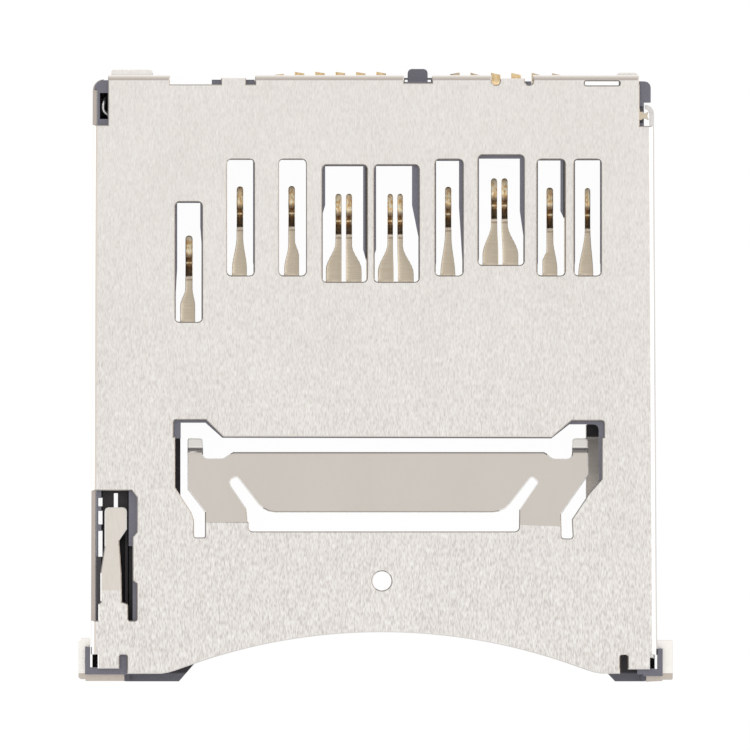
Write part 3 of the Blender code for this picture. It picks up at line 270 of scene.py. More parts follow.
def stainless():
    """Rolled sheet with streaks along Y where the zone is 0, and a plain tone for every other zone."""
    made, tree, shader = new_finish("grained_stainless")
    zone = attribute(tree, "zone")
    stops = [(max(0.0, ZONE_CODES[name] - 0.5 * ZONE_STEP), tone) for name, tone in ZONES.items()]
    tones = ramp(tree, zone, stops)
    tree.nodes[-1].color_ramp.interpolation = "CONSTANT"
    formed = map_range(tree, zone, 0.4 * ZONE_STEP, 0.6 * ZONE_STEP, 0.0, 1.0)
    cloud = ramp(tree, grain(tree, (2.0, 4.0, 4.0), 3.0), [(0.3, CLOUD_TONE), (0.7, WHITE)])
    toned = mix_colour(tree, 1.0, mix_colour(tree, formed, streaked(tree), tones), cloud, "MULTIPLY")
    # A painted band of shade across the leaf where its tips turn up.
    whole = mix_colour(tree, 1.0, toned, tip_bend_shade(tree, formed, zone), "MULTIPLY")
    tree.links.new(whole, shader.inputs["Base Color"])
    rough = map_range(tree, grain(tree, (0.1, 0.5, 0.5), 1.0), 0.3, 0.7, 0.27, 0.33)
    sleeker = map_range(tree, formed, 0.0, 1.0, 1.0, 0.7)
    tree.links.new(multiply(tree, rough, sleeker), shader.inputs["Roughness"])
    tree.links.new(metal_but_rims(tree, zone), shader.inputs["Metallic"])
    return made


STAINLESS = stainless()
print("finish:", STAINLESS.name)

# %% [markdown]
# ### Plated strip
#
# The contacts are bare nickel on their beams and gold on their wipers and tails. The gold on the wipers
# is mottled, with painted glints; on the tails it is almost even. The wiper's steep faces carry painted
# shade, a dark brown for the dark that they would reflect. A painted highlight makes a pale line where
# the wiper starts, and the tip has a lighter painted tone. The gold, shade and pale attributes hold how
# far each of the three shows; they are worked out when the strip is made.


# %% Plated strip of the contacts
NICKEL_TONES = [(0.3, (0.655, 0.56, 0.43)), (0.7, (0.71, 0.615, 0.485))]
# Gold mottled from orange to cream; the cream spots are painted glints.
GOLD_AND_GLINTS = [(0.36, (0.72, 0.44, 0.2)), (0.48, (1.0, 0.75, 0.42)), (0.6, (1.0, 0.9, 0.68))]
SHADE_TONES = [(0.3, (0.11, 0.068, 0.042)), (0.75, (0.44, 0.295, 0.175))]
EVEN_GOLD = (1.0, 0.75, 0.42)
# Tone of the painted highlight and of the tip's lighter painted tone.
PALE_TONE = (1.0, 0.86, 0.7)


def plated_strip():
    """Nickel, with gold, painted shade and a pale painted highlight as far as the three attributes say."""
    made, tree, shader = new_finish("plated_strip")
    lines = grain(tree, (0.8, 0.05, 0.3), 2.0)
    draw = grain(tree, (0.035, 0.8, 0.8), 1.0)
    nickel = ramp(tree, lines, NICKEL_TONES)
    # Mottled gold with painted glints on the wipers; the tails get an even gold.
    glints = grain(tree, (0.11, 0.22, 0.3), 1.0)
    towards_tail = along(tree, "Y", 12.0, 13.0, 0.0, 0.75)
    gold = mix_colour(tree, towards_tail, ramp(tree, glints, GOLD_AND_GLINTS), plain(tree, EVEN_GOLD))
    shade_tone = ramp(tree, draw, SHADE_TONES)
    bare = mix_colour(tree, attribute(tree, "gold"), nickel, gold)
    shaded = mix_colour(tree, attribute(tree, "shade"), bare, shade_tone)
    pale = attribute(tree, "pale")
    tone = mix_colour(tree, pale, shaded, plain(tree, PALE_TONE))
    tree.links.new(tone, shader.inputs["Base Color"])
    tree.links.new(map_range(tree, pale, 0.0, 1.0, 1.0, 0.0), shader.inputs["Metallic"])
    worn = map_range(tree, attribute(tree, "gold"), 0.0, 1.0, 0.26, 0.32)
    tree.links.new(worn, shader.inputs["Roughness"])
    bump(tree, shader, lines, 0.0002)
    return made


PLATED = plated_strip()
print("finish:", PLATED.name)


# %% [markdown]
# ### Tinned sheet
#
# The solder tabs are dipped in tin, which dries matt and pale with a faint mottling. The guide spring is
# tinned before it is pressed, so it is chalkier: partly metallic. Both come from one function.


# %% Tinned sheet
FLANGE_TONE = (0.60, 0.55, 0.515)


def tinned(name, low, high, rough, metallic):
    """Matt tin between the low and the high tone, faintly mottled, and darker on the tabs' front flange.

    rough is its lowest roughness.
    """
    made, tree, shader = new_finish(name)
    mottle = grain(tree, (0.12, 0.12, 0.12), 4.0, 0.6)
    tone = ramp(tree, mottle, [(0.3, low), (0.7, high)])
    flange = ramp(tree, along(tree, "Y", -14.5, -14.4, 0.0, 1.0), [(0.4, FLANGE_TONE), (0.6, WHITE)])
    tree.links.new(mix_colour(tree, 1.0, tone, flange, "MULTIPLY"), shader.inputs["Base Color"])
    tree.links.new(map_range(tree, mottle, 0.3, 0.7, rough, rough + 0.08), shader.inputs["Roughness"])
    shader.inputs["Metallic"].default_value = metallic
    bump(tree, shader, mottle, 0.0003)
    return made


TINNED = tinned("matt_tin", (0.91, 0.87, 0.82), (0.98, 0.95, 0.90), 0.16, 1.0)
SMOOTH_TIN = tinned("smooth_tin", (0.90, 0.83, 0.76), (0.96, 0.90, 0.83), 0.4, 0.1)
print("finishes:", TINNED.name, SMOOTH_TIN.name)


# %% [markdown]
# ### Mouldings
#
# The housing is a glass-filled blue-black resin. It is painted lighter at the top and on the front lip,
# and a little less on the lug at the rear, as painted light; its depths stay dark as painted shade, and
# the inner rail by the tongue has painted shade too. The slide is a darker, slippery resin, painted
# lighter towards its top. Masks by Object X, Y and Z place the painted light, so it stays with the piece.
# Dust and wear would need a texture by hand, and a new connector has none.


# %% Black mouldings
def resin(name, deep, top, rough, lit_share):
    """Fine-textured resin, from the deep colour, its painted shade, to the top colour, its painted light, by
    the mask that the given function returns.
    """
    made, tree, shader = new_finish(name)
    spark = grain(tree, (0.06, 0.09, 0.06), 3.0, 0.6)
    body = mix_colour(tree, lit_share(tree), plain(tree, deep), plain(tree, top))
    mottle = ramp(tree, spark, [(0.3, (0.84, 0.84, 0.85)), (0.7, (1.08, 1.08, 1.09))])
    tree.links.new(mix_colour(tree, 1.0, body, mottle, "MULTIPLY"), shader.inputs["Base Color"])
    tree.links.new(map_range(tree, spark, 0.3, 0.7, rough - 0.08, rough + 0.1), shader.inputs["Roughness"])
    bump(tree, shader, spark, 0.004)
    return made


def within(tree, axis, low_mm, high_mm):
    """1 between two values of Object X, Y or Z, with steps of 0.02 mm, and 0 outside."""
    rise = along(tree, axis, low_mm, low_mm + 0.02, 0.0, 1.0)
    return multiply(tree, rise, along(tree, axis, high_mm - 0.02, high_mm, 1.0, 0.0))


def housing_painted_light(tree):
    """Share of painted light: 1 at the top and on the front lip, less on the lug at the rear, 0 in the
    depths, which keep the painted shade, and little on the inner rail by the tongue.
    """
    # Painted shade on the inner left rail by the tongue, which lies in shadow.
    shaded_rail = multiply(tree, within(tree, "X", -13.58, -13.2), within(tree, "Y", -11.9, -8.75))
    bright = map_range(tree, shaded_rail, 0.0, 1.0, 1.0, 0.1)
    lip = along(tree, "Y", -14.5, -14.4, 0.8, 0.0)
    higher = add_node(tree, "ShaderNodeMath", {"operation": "MAXIMUM"})
    tree.links.new(along(tree, "Z", 2.2, 2.7, 0.0, 1.0), higher.inputs[0])
    tree.links.new(lip, higher.inputs[1])
    less_lit_at_rear = multiply(tree, higher.outputs[0], along(tree, "Y", 14.27, 14.32, 1.0, 0.7))
    return multiply(tree, less_lit_at_rear, bright)


def slide_painted_light(tree):
    """Share of painted light: from none at the foot of the slide to all at its top."""
    return along(tree, "Z", 0.5, 2.0, 0.0, 1.0)


# Each resin's deep colour is its painted shade and its top colour its painted light.
MOULDING = resin("black_plastic", (0.04, 0.035, 0.04), (0.194, 0.19, 0.226), 0.5, housing_painted_light)
SLIDER_MOULDING = resin("slide_plastic", (0.018, 0.014, 0.015), (0.036, 0.028, 0.029), 0.5, slide_painted_light)
print("finishes:", MOULDING.name, SLIDER_MOULDING.name)


# %% [markdown]
# ### Spring wire
#
# The return spring and the cam link are drawn from bright stainless wire: a light tone, with faint
# mottling from the draw plate's soap. A mirror finish would sparkle too much at this size.


# %% Spring wire
def spring_wire():
    """Drawn wire: bright, with faint mottling."""
    made, tree, shader = new_finish("drawn_wire")
    mottle = grain(tree, (0.1, 0.1, 0.1), 2.0)
    tone = ramp(tree, mottle, [(0.3, (0.70, 0.69, 0.67)), (0.7, (0.86, 0.85, 0.83))])
    tree.links.new(tone, shader.inputs["Base Color"])
    tree.links.new(map_range(tree, mottle, 0.3, 0.7, 0.22, 0.34), shader.inputs["Roughness"])
    shader.inputs["Metallic"].default_value = 1.0
    return made


SPRING_WIRE = spring_wire()
print("finish:", SPRING_WIRE.name)

# %% [markdown]
# ## Sheet and moulded pieces
#
# The shell, the housing, the slide and the solder tabs have flat faces and sharp outlines, which the
# solids already hold. A real stamping has a rolled-over edge and a moulding has a small radius, and it
# is this line of light along each edge that makes them look real. A merged copy of the solid with a
# Bevel modifier gives it. On the shell only the rims that face up are cut, edge by edge, because its
# folds are stepped already and a modifier would round each step.


# %% Bevelled copies
def merged_copy(node, name):
    """New object with the node's solid, its loose triangles merged and its flat faces dissolved."""
    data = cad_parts[node].data.copy()
    mesh = bmesh.new()
    mesh.from_mesh(data)
    bmesh.ops.remove_doubles(mesh, verts=mesh.verts, dist=1e-6)
    bmesh.ops.dissolve_limit(mesh, angle_limit=math.radians(0.5), verts=mesh.verts, edges=mesh.edges)
    mesh.to_mesh(data)
    mesh.free()
    made = bpy.data.objects.new(name, data)
    bpy.context.scene.collection.objects.link(made)
    return made


SHELL_HALF = 13.5
WALL_INNER = SHELL_HALF - 0.6
FOLD_DEPTH = 0.4


def dressed(piece, node, finish, body="base"):
    """Gives a piece its finish, and lets it ride on its body in place of the CAD node."""
    piece.data.materials.clear()
    piece.data.materials.append(finish)
    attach(piece, body)
    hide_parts(node)
    return piece


def bevelled(piece, width_mm, segments=2):
    """Rounds each edge sharper than 25 degrees, width_mm wide."""
    edge = piece.modifiers.new("edge", "BEVEL")
    edge.width = width_mm * MM
    edge.segments = segments
    edge.limit_method = "ANGLE"
    edge.angle_limit = math.radians(25)
    return piece


def is_rim(edge):
    """True for a convex edge between an upward face and a steep one, but not on top of a side wall's end."""
    if len(edge.link_faces) != 2 or not edge.is_convex:
        return False
    slopes = [face.normal.z for face in edge.link_faces]
    upward, steep = max(slopes) > 0.9, min(abs(slope) for slope in slopes) < 0.3
    middle = (edge.verts[0].co + edge.verts[1].co) / 2 / MM
    on_wall_end = abs(middle.x) > WALL_INNER and middle.z < TOP - FOLD_DEPTH
    return upward and steep and not on_wall_end


def rolled_rims(piece, width_mm):
    """Cuts a rim width_mm wide along each rim edge; clamping would shrink it to nothing at short edges."""
    mesh = bmesh.new()
    mesh.from_mesh(piece.data)
    rims = [edge for edge in mesh.edges if is_rim(edge)]
    bmesh.ops.bevel(mesh, geom=rims, offset=width_mm * MM, segments=1, affect="EDGES", clamp_overlap=False)
    mesh.to_mesh(piece.data)
    mesh.free()
    return piece


# %% [markdown]
# The zone of each face of the shell follows from the slope of its normal and from where its centre lies:
# a rim tilts by 45 degrees, the folds are stepped in facets of 11, 34, 56 and 79 degrees, and the leaf
# and the tongue are the sloping faces inside the outline. Painting the zones by hand would have to be
# done again after each change of the solid.

# %% Zones of the shell
LEAF_REAR = -2.5
TIP_REAR = -3.6
ARC_REAR = -9.5
REAR_BEND = 14.2
REAR_TABS = 14.6
RIM_DEPTH = 0.12
SUNK = 0.05
RIM_TILTS = (30, 65)
FACET_TILTS = (5, 23, 45, 68)
FLAT_TILT = 25
STEEP_TILT = 80
SIDEWAYS = 0.4


def rim_zones(zone, on_rim, nx):
    """Painted light and shade on a rim by the side it faces: light when it faces +X, dark when it faces -X.
    """
    zone[on_rim] = ZONE_CODES["rim"]
    zone[on_rim & (nx > SIDEWAYS)] = ZONE_CODES["lit_rim"]
    zone[on_rim & (nx < -SIDEWAYS)] = ZONE_CODES["shaded_rim"]


def face_zones(piece):
    """Writes the zone of each face: by the slope of its normal and by where its centre lies."""
    faces = piece.data.polygons
    normals = np.zeros(len(faces) * 3)
    faces.foreach_get("normal", normals)
    centres = np.zeros(len(faces) * 3)
    faces.foreach_get("center", centres)
    nx, ny, nz = normals.reshape(-1, 3).T
    x, y, z = centres.reshape(-1, 3).T / MM
    tilt = np.degrees(np.arccos(np.clip(nz, -1, 1)))
    zone = np.zeros(len(faces))
    rim = (tilt > RIM_TILTS[0]) & (tilt < RIM_TILTS[1])
    outer_rim = rim & (z > TOP - RIM_DEPTH)
    facing_front = ny < -SIDEWAYS
    rim_zones(zone, outer_rim, nx)
    # Rims that face the front get lighter painted tones: near the front, and by the leaf's tips.
    zone[rim & facing_front & (y < ARC_REAR)] = ZONE_CODES["outer_line"]
    zone[outer_rim & facing_front & (y < LEAF_REAR) & (y > TIP_REAR)] = ZONE_CODES["rear_foot"]

    # The rear fold's facets, from the plate outwards: painted shade that lightens to a painted highlight.
    in_fold = z > TOP - FOLD_DEPTH
    rear = in_fold & (y > REAR_BEND) & (ny > 0.15) & (np.abs(nx) < 0.2)
    for limit, name in zip(FACET_TILTS, ("crease", "rear_bend", "rear_foot", "bend")):
        zone[rear & (tilt > limit)] = ZONE_CODES[name]

    # The side folds: a warm painted highlight on the left's first facet, near white on the rest, and a
    # painted outline of shade on the right's outer facets.
    side = in_fold & (np.abs(x) > SHELL_HALF - 0.3) & (np.abs(ny) < 0.1)
    left, right = side & (nx < -0.1), side & (nx > 0.1)
    zone[left & (tilt > FACET_TILTS[0])] = ZONE_CODES["side_bend"]
    zone[(left & (tilt > FACET_TILTS[1])) | (right & (tilt > FACET_TILTS[0]))] = ZONE_CODES["bend"]
    zone[right & (tilt > FACET_TILTS[2])] = ZONE_CODES["outer_line"]

    flat = tilt < FLAT_TILT
    sunk = z < TOP - SUNK
    inside = (np.abs(x) < SHELL_HALF) & (y < LEAF_REAR) & (z > TOP / 2)
    # The sloping leaf and tongue: smooth, and darker by painted shade for their slope.
    zone[inside & flat & (y < TIP_REAR) & ((np.abs(ny) > 0.03) | sunk)] = ZONE_CODES["smooth_and_shaded"]
    zone[(inside & flat & sunk & (y > TIP_REAR)) | (flat & (y > REAR_TABS))] = ZONE_CODES["pressed"]
    # The leaf's rims get a painted highlight. The facets where the tips bend up get the pressed tone, and
    # painted shade on those at the rear.
    zone[inside & rim & (z < TOP - RIM_DEPTH)] = ZONE_CODES["leaf_rim"]
    tip_bend = inside & sunk & (tilt < STEEP_TILT) & (y > TIP_REAR - 0.25) & (y < TIP_REAR + 0.2)
    zone[tip_bend & (np.abs(nx) < 0.3)] = ZONE_CODES["pressed"]
    zone[tip_bend & (y < TIP_REAR - 0.03)] = ZONE_CODES["shaded_rim"]

    # The tops of the side walls show their sheared edge; at the right rear they get the lighter tone of the
    # painted outline instead.
    walls = (z < TOP - FOLD_DEPTH) & (z > 1.0) & (tilt < 20) & (np.abs(x) > WALL_INNER)
    zone[walls] = ZONE_CODES["sheared"]
    zone[walls & (x > 0) & (y > 0)] = ZONE_CODES["outer_line"]
    mark = piece.data.attributes.new("zone", "FLOAT", "FACE")
    mark.data.foreach_set("value", zone.astype(np.float32))
    return piece


# %% Dress the sheet and moulded pieces
MOULDED_AND_STAMPED = (
    ("shell_cover", "stamped_shell", STAINLESS, "base", 0.05),
    ("housing", "moulded_housing", MOULDING, "base", 0.025),
    ("front_solder_tab_left", "solder_tab_left", TINNED, "base", 0.03),
    ("front_solder_tab_right", "solder_tab_right", TINNED, "base", 0.03),
    ("slider", "moulded_slide", SLIDER_MOULDING, "slide", 0.03),
    ("card_detect_terminal", "detect_blade", PLATED, "base", 0.02),
    ("write_protect_terminal", "protect_blade", PLATED, "base", 0.02),
    ("switch_common_terminal", "common_strip", PLATED, "base", 0.02),
)
JOG_FRONT = 10.85
JOG_REAR = 13.4
TAIL_TURN = 14.165
THIN_GOLD = 0.3
THINLY_PLATED = ("contact_6", "contact_7", "write_protect_terminal", "switch_common_terminal")
TAIL_GOLD = dict.fromkeys(THINLY_PLATED, THIN_GOLD)


def mark_plated_tail(piece, node):
    """Gold attribute on the points behind the jog, where the tail turns down."""
    points = np.zeros(len(piece.data.vertices) * 3)
    piece.data.vertices.foreach_get("co", points)
    behind = points[1::3] > (JOG_REAR + TAIL_TURN) / 2 * MM
    mark = piece.data.attributes.new("gold", "FLOAT", "POINT")
    mark.data.foreach_set("value", (behind * TAIL_GOLD.get(node, 1.0)).astype(np.float32))
    return piece


for node, name, finish, body, width in MOULDED_AND_STAMPED:
    piece = merged_copy(node, name)
    if node == "shell_cover":
        face_zones(rolled_rims(piece, width))
    else:
        bevelled(piece, width)
    if finish is PLATED:
        mark_plated_tail(piece, node)
    dressed(piece, node, finish, body)
    print(name, "faces:", len(piece.data.polygons))

# %% [markdown]
# ## Contacts
#
# Each contact is one strip: a finger that slopes down into the card's space, dips into a wiper and
# curls up at its tip, a wide root, and a lead that runs back beside the window, jogs to its own tail
# and turns down behind the housing. A surface of two parameters suits it: how far along the strip, and
# how far round its edge. The solids already hold where each strip lies, so its edges are read from
# them, and only the bends are worked out again, far finer.

# %% A strip as a surface of two parameters
STRIP = 0.15
CORNER = 0.035
EDGE_STEPS = 4


def bent_path(start, moves, step=0.03):
    """Rows (y, z, heading, travelled) of a path made of (length, bend in degrees) stretches.

    Each stretch bends evenly: the heading is the running sum of the small bends, and y and z are the
    running sums of the cosine and sine of the heading halfway through each step, times its length.
    """
    lengths, bends = [], []
    for length, degrees in moves:
        steps = max(2, round(length / step))
        lengths.append(np.full(steps, length / steps))
        bends.append(np.full(steps, math.radians(degrees) / steps))
    lengths, bends = np.concatenate(lengths), np.concatenate(bends)
    heading = np.concatenate([[0.0], np.cumsum(bends)])
    halfway = heading[:-1] + bends / 2
    y = start[0] + np.concatenate([[0.0], np.cumsum(lengths * np.cos(halfway))])
    z = start[1] + np.concatenate([[0.0], np.cumsum(lengths * np.sin(halfway))])
    return y, z, heading, np.concatenate([[0.0], np.cumsum(lengths)])


def edge_round(thickness):
    """Rounded rectangle as (side, across, up); side is -1 at the strip's left edge and 1 at its right."""
    turn = np.linspace(0, np.pi / 2, EDGE_STEPS)
    angles = (turn[None, :] + np.array([0, 1, 2, 3])[:, None] * np.pi / 2).ravel()
    side = np.repeat([1, -1, -1, 1], EDGE_STEPS)
    rise = np.repeat([1, 1, -1, -1], EDGE_STEPS)
    return side, CORNER * np.cos(angles), rise * (thickness / 2 - CORNER) + CORNER * np.sin(angles)


def strip_grid(path, left, right, thickness=STRIP):
    """Grid of points (m, n, 3) of a strip along the path, with its left and right edge at each row.

    A point lies at the edge's x, drawn in by the corner radius, and thickness / 2 off the centre line
    along the normal (-sin heading, cos heading).
    """
    y, z, heading, _ = path
    side, across, up = edge_round(thickness)
    edge = np.where(side[None, :] > 0, right[:, None] - CORNER, left[:, None] + CORNER)
    return np.stack([
        edge + across[None, :],
        y[:, None] - np.sin(heading)[:, None] * up[None, :],
        z[:, None] + np.cos(heading)[:, None] * up[None, :],
    ], axis=-1)


def closed_tube(grids, name, marks=None):
    """One mesh from grids of points: each is closed round its second index and capped at both ends."""
    points, quads, caps, start = [], [], [], 0
    for grid in grids:
        rows, around = grid.shape[:2]
        index = start + np.arange(rows * around).reshape(rows, around)
        ahead = np.roll(index, -1, axis=1)
        quads.append(np.stack([index[:-1], ahead[:-1], ahead[1:], index[1:]], axis=-1).reshape(-1, 4))
        caps += [index[0][::-1].tolist(), index[-1].tolist()]
        points.append(grid.reshape(-1, 3))
        start += rows * around
    data = bpy.data.meshes.new(name)
    data.from_pydata((np.concatenate(points) * MM).tolist(), [], np.concatenate(quads).tolist() + caps)
    mesh = bmesh.new()
    mesh.from_mesh(data)
    bmesh.ops.recalc_face_normals(mesh, faces=mesh.faces)
    mesh.to_mesh(data)
    mesh.free()
    smooth = np.ones(len(data.polygons), bool)
    data.polygons.foreach_set("use_smooth", smooth)
    data.set_sharp_from_angle(angle=math.radians(40))
    for mark_name, values in (marks or {}).items():
        mark = data.attributes.new(mark_name, "FLOAT", "POINT")
        mark.data.foreach_set("value", np.concatenate(values).astype(np.float32))
    made = bpy.data.objects.new(name, data)
    bpy.context.scene.collection.objects.link(made)
    return made


# %% Read a contact's places from its solid
def node_points(node):
    """The node's vertices in millimetres, as an array of rows (x, y, z)."""
    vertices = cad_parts[node].data.vertices
    points = np.zeros(len(vertices) * 3)
    vertices.foreach_get("co", points)
    return points.reshape(-1, 3) / MM


def span_near(points, axis, value, reach=0.02):
    """Lowest and highest x among the points whose coordinate on the axis is within reach of value."""
    near = points[np.abs(points[:, axis] - value) < reach, 0]
    return near.min(), near.max()


def finger_edges(points, front, middle, limits):
    """Two arrays (y, x) of the finger's left and right edge, from the vertices on each side of its middle."""
    x, y = points[:, 0], points[:, 1]
    on_finger = (y > front - 0.01) & (y < front + BEAM_REACH) & (x > limits[0]) & (x < limits[1])
    found = []
    for on_side in (x < middle, x > middle):
        picked = points[on_finger & on_side]
        order = np.argsort(picked[:, 1])
        found.append((picked[order, 1], picked[order, 0]))
    return found


ROOT_DEPTH = 0.62
BEAM_REACH = 2.3
WIPER_REACH = 3.3
ROOT_HALF = 0.8
points = node_points("contact_2")
print("contact_2 reaches from", points.min(0).round(2), "to", points.max(0).round(2))

# %% Make the contacts
BEAM_ANGLE = 14
WIPER_FALL = 44
WIPER_RISE = 52
TIP_ANGLE = 22


def arc(radius, degrees):
    """Length and bend of an arc."""
    return radius * math.radians(abs(degrees)), degrees


BEAM_LENGTH = 2.17
WIPER_MOVES = (
    arc(0.08, BEAM_ANGLE - WIPER_FALL),
    (0.88, 0),
    arc(0.16, WIPER_FALL + WIPER_RISE),
    (0.16, 0),
    arc(0.35, -WIPER_RISE - TIP_ANGLE),
    (0.72, 0),
)
TIP_ROUND = 0.16
BEAM_START = 0.3 + 0.5 * math.radians(BEAM_ANGLE)
TIP_SHARE = 0.35
GOLD_START = 0.11
GOLD_FADE = 0.03
# Painted shade along the wiper: a thin dark line before the pale line, dark on the steep fall and rise, less
# at the bottom of the dip, and none on the crest and tip.
SHADE_STOPS = (
    (-0.11, 0), (-0.095, 0.5), (-0.01, 0.5), (0.0, 0), (0.10, 0), (0.14, 0.95), (0.26, 0.95),
    (0.36, 0.75), (0.72, 0.75), (0.84, 0.15), (1.14, 0.3), (1.2, 1), (1.46, 1), (1.54, 0.85),
    (1.7, 0.1), (1.78, 0), (2.52, 0),
)
# Painted highlight: a pale line where the wiper starts, and a lighter painted tone on the tip.
PALE_STOPS = (
    (0.0, 0), (0.015, 1), (0.09, 1), (0.11, 0), (2.14, 0), (2.28, 0.28), (2.42, 0.28), (2.5, 0.15),
)


def finger_moves(beam):
    """Stretches of a finger: a flat start, the bend down, the beam and the wiper."""
    return ((0.3, 0), arc(0.5, -BEAM_ANGLE), (beam, 0), *WIPER_MOVES)


def finger_end(points, front):
    """Y of the finger's tip in the solid."""
    ahead = points[(points[:, 1] > front + WIPER_REACH) & (points[:, 1] < JOG_FRONT - 0.1), 1]
    return ahead.max()


def finger_grid(points, front, height, wiper, limits):
    """Grid of one finger and its marks: edges from the solid, drawn in round the tip as a half ellipse.

    The shade mark, painted shade, and the pale mark, a painted highlight, follow SHADE_STOPS and
    PALE_STOPS, which are pairs of (distance along the wiper, strength).
    """
    usual = bent_path((front - 0.3, height), finger_moves(BEAM_LENGTH))
    beam = BEAM_LENGTH - (usual[0][-1] - finger_end(points, front)) / math.cos(math.radians(BEAM_ANGLE))
    path = bent_path((front - 0.3, height), finger_moves(beam))
    y, travelled = path[0], path[3]
    (left_y, left_x), (right_y, right_x) = finger_edges(points, front, sum(wiper) / 2, limits)
    left = np.interp(y, left_y, left_x)
    right = np.interp(y, right_y, right_x)
    to_tip = np.clip((travelled[-1] - travelled) / TIP_ROUND, 0, 1)
    share = TIP_SHARE + (1 - TIP_SHARE) * np.sqrt(1 - (1 - to_tip) ** 2)
    half = (right - left) / 2 * share
    centre = (left + right) / 2
    wiper = travelled - BEAM_START - beam
    gold = np.clip((wiper - GOLD_START) / GOLD_FADE, 0, 1)
    shade = np.interp(wiper, *np.array(SHADE_STOPS).T)
    pale = np.interp(wiper, *np.array(PALE_STOPS).T)
    return strip_grid(path, centre - half, centre + half), {"gold": gold, "shade": shade, "pale": pale}


def wiper_spans(points, front):
    """The x spans of the fingers, from the lowest vertices of the beam and the wiper."""
    ahead = points[points[:, 1] < front + WIPER_REACH]
    low = np.unique(ahead[ahead[:, 2] < ahead[:, 2].min() + 0.05, 0].round(3))
    gaps = np.flatnonzero(np.diff(low) > 0.15)
    if len(gaps) == 3:
        return [(low[0], low[gaps[0] + 1]), (low[gaps[1] + 1], low[-1])]
    return [(low[0], low[-1])]


def lead_grid(points, start_y, height, tail_gold):
    """Grid of the lead and its tail: it jogs sideways between two rows, turns down and then out."""
    lead = span_near(points, 1, JOG_FRONT)
    foot = points[points[:, 2] < STRIP]
    tail = foot[:, 0].min(), foot[:, 0].max()
    left_end, right_end = (foot[np.abs(foot[:, 0] - edge) < 0.02, 1].max() for edge in tail)
    turn_y = TAIL_TURN - STRIP
    drop = height - STRIP / 2 - 2 * STRIP
    foot_length = right_end - turn_y - 2 * STRIP
    moves = [(turn_y - start_y, 0), arc(STRIP, -90), (drop, 0), arc(STRIP, 90), (foot_length, 0)]
    path = bent_path((start_y, height), moves, 0.08)
    left, right = (np.interp(path[0], [JOG_FRONT, JOG_REAR], [lead[i], tail[i]]) for i in (0, 1))
    grid = strip_grid(path, left, right)
    grid[-1, edge_round(STRIP)[0] < 0, 1] += left_end - right_end
    return grid, {"gold": tail_gold * (path[0] > JOG_REAR), "shade": 0 * path[0], "pale": 0 * path[0]}


def make_contact(node):
    """Finger or fingers, wide root, and the lead that ends in the tail."""
    points = node_points(node)
    start_y = points[:, 1].min()
    front = start_y + ROOT_DEPTH
    height = points[:, 2].max() - STRIP / 2
    spans = wiper_spans(points, front)
    bounds = [spans[0][0] - ROOT_HALF, spans[-1][1] + ROOT_HALF]
    if len(spans) == 2:
        bounds.insert(1, (spans[0][1] + spans[1][0]) / 2)
    parts = [
        finger_grid(points, front, height, span, limits)
        for span, limits in zip(spans, zip(bounds, bounds[1:]))
    ]
    root = span_near(points, 1, start_y)
    root_path = bent_path((start_y, height), [(ROOT_DEPTH + 0.02, 0)], 0.2)
    rows = np.ones_like(root_path[0])
    bare = {"gold": 0 * rows, "shade": 0 * rows, "pale": 0 * rows}
    parts.append((strip_grid(root_path, root[0] * rows, root[1] * rows), bare))
    parts.append(lead_grid(points, start_y, height, TAIL_GOLD.get(node, 1.0)))
    marks = {
        name: [np.repeat(rows_marked[name], grid.shape[1]) for grid, rows_marked in parts]
        for name in ("gold", "shade", "pale")
    }
    return closed_tube([grid for grid, _ in parts], node.replace("contact", "sprung_contact"), marks)


for number in range(1, 10):
    node = f"contact_{number}"
    piece = make_contact(node)
    dressed(piece, node, PLATED)
    print(piece.name, "faces:", len(piece.data.polygons))

# %% [markdown]
# ## Return spring
#
# The spring is a round wire along a helix, with a closed turn at each end. Its rear end leaves the coil
# as a small hook that lies open to view in the corner pocket, near the top. The grid is a circle swept
# along the path. A curve object with a round bevel would look the same.

# %% Coil spring
COIL_TURNS = 11
COIL_WIRE = 0.18
COIL_STEPS = 24
WIRE_AROUND = 12
HOOK = (
    (-12.95, 13.6, 2.0), (-13.12, 13.45, 2.4), (-13.2, 13.2, 2.62),
    (-13.21, 12.95, 2.64), (-13.12, 12.78, 2.6), (-12.95, 12.62, 2.55),
)


def swept_circle(centres, axis, radius):
    """Grid (m, n, 3) of circles round the centres, square to the path; axis is never along the path."""
    ahead = np.gradient(centres, axis=0)
    ahead /= np.linalg.norm(ahead, axis=1, keepdims=True)
    across = np.cross(ahead, axis)
    across /= np.linalg.norm(across, axis=1, keepdims=True)
    upright = np.cross(ahead, across)
    angle = np.linspace(0, 2 * np.pi, WIRE_AROUND, endpoint=False)[None, :, None]
    ring = np.cos(angle) * across[:, None, :] + np.sin(angle) * upright[:, None, :]
    return centres[:, None, :] + radius * ring


def through(corners, steps):
    """Smooth path through corners: each coordinate as a polynomial of the corner number."""
    number = np.arange(len(corners))
    degree = len(corners) - 1
    at = np.linspace(0, degree, steps)
    fits = [np.polyfit(number, place, degree) for place in np.array(corners).T]
    return np.stack([np.polyval(fit, at) for fit in fits], axis=-1)


def coil_path(low, high):
    """Centre line of the helix that fills the box from low to high; its end turns lie closed."""
    middle = (low + high) / 2
    radius = (high[0] - low[0] - COIL_WIRE) / 2
    start, end = low[1] + COIL_WIRE / 2, high[1] - COIL_WIRE / 2
    turn = np.linspace(0, COIL_TURNS, COIL_TURNS * COIL_STEPS + 1)
    y = np.interp(turn, [0, 1, COIL_TURNS - 1, COIL_TURNS], [start, start + COIL_WIRE, end - COIL_WIRE, end])
    angle = 2 * np.pi * turn
    return np.stack([middle[0] + radius * np.cos(angle), y, middle[2] + radius * np.sin(angle)], axis=-1)


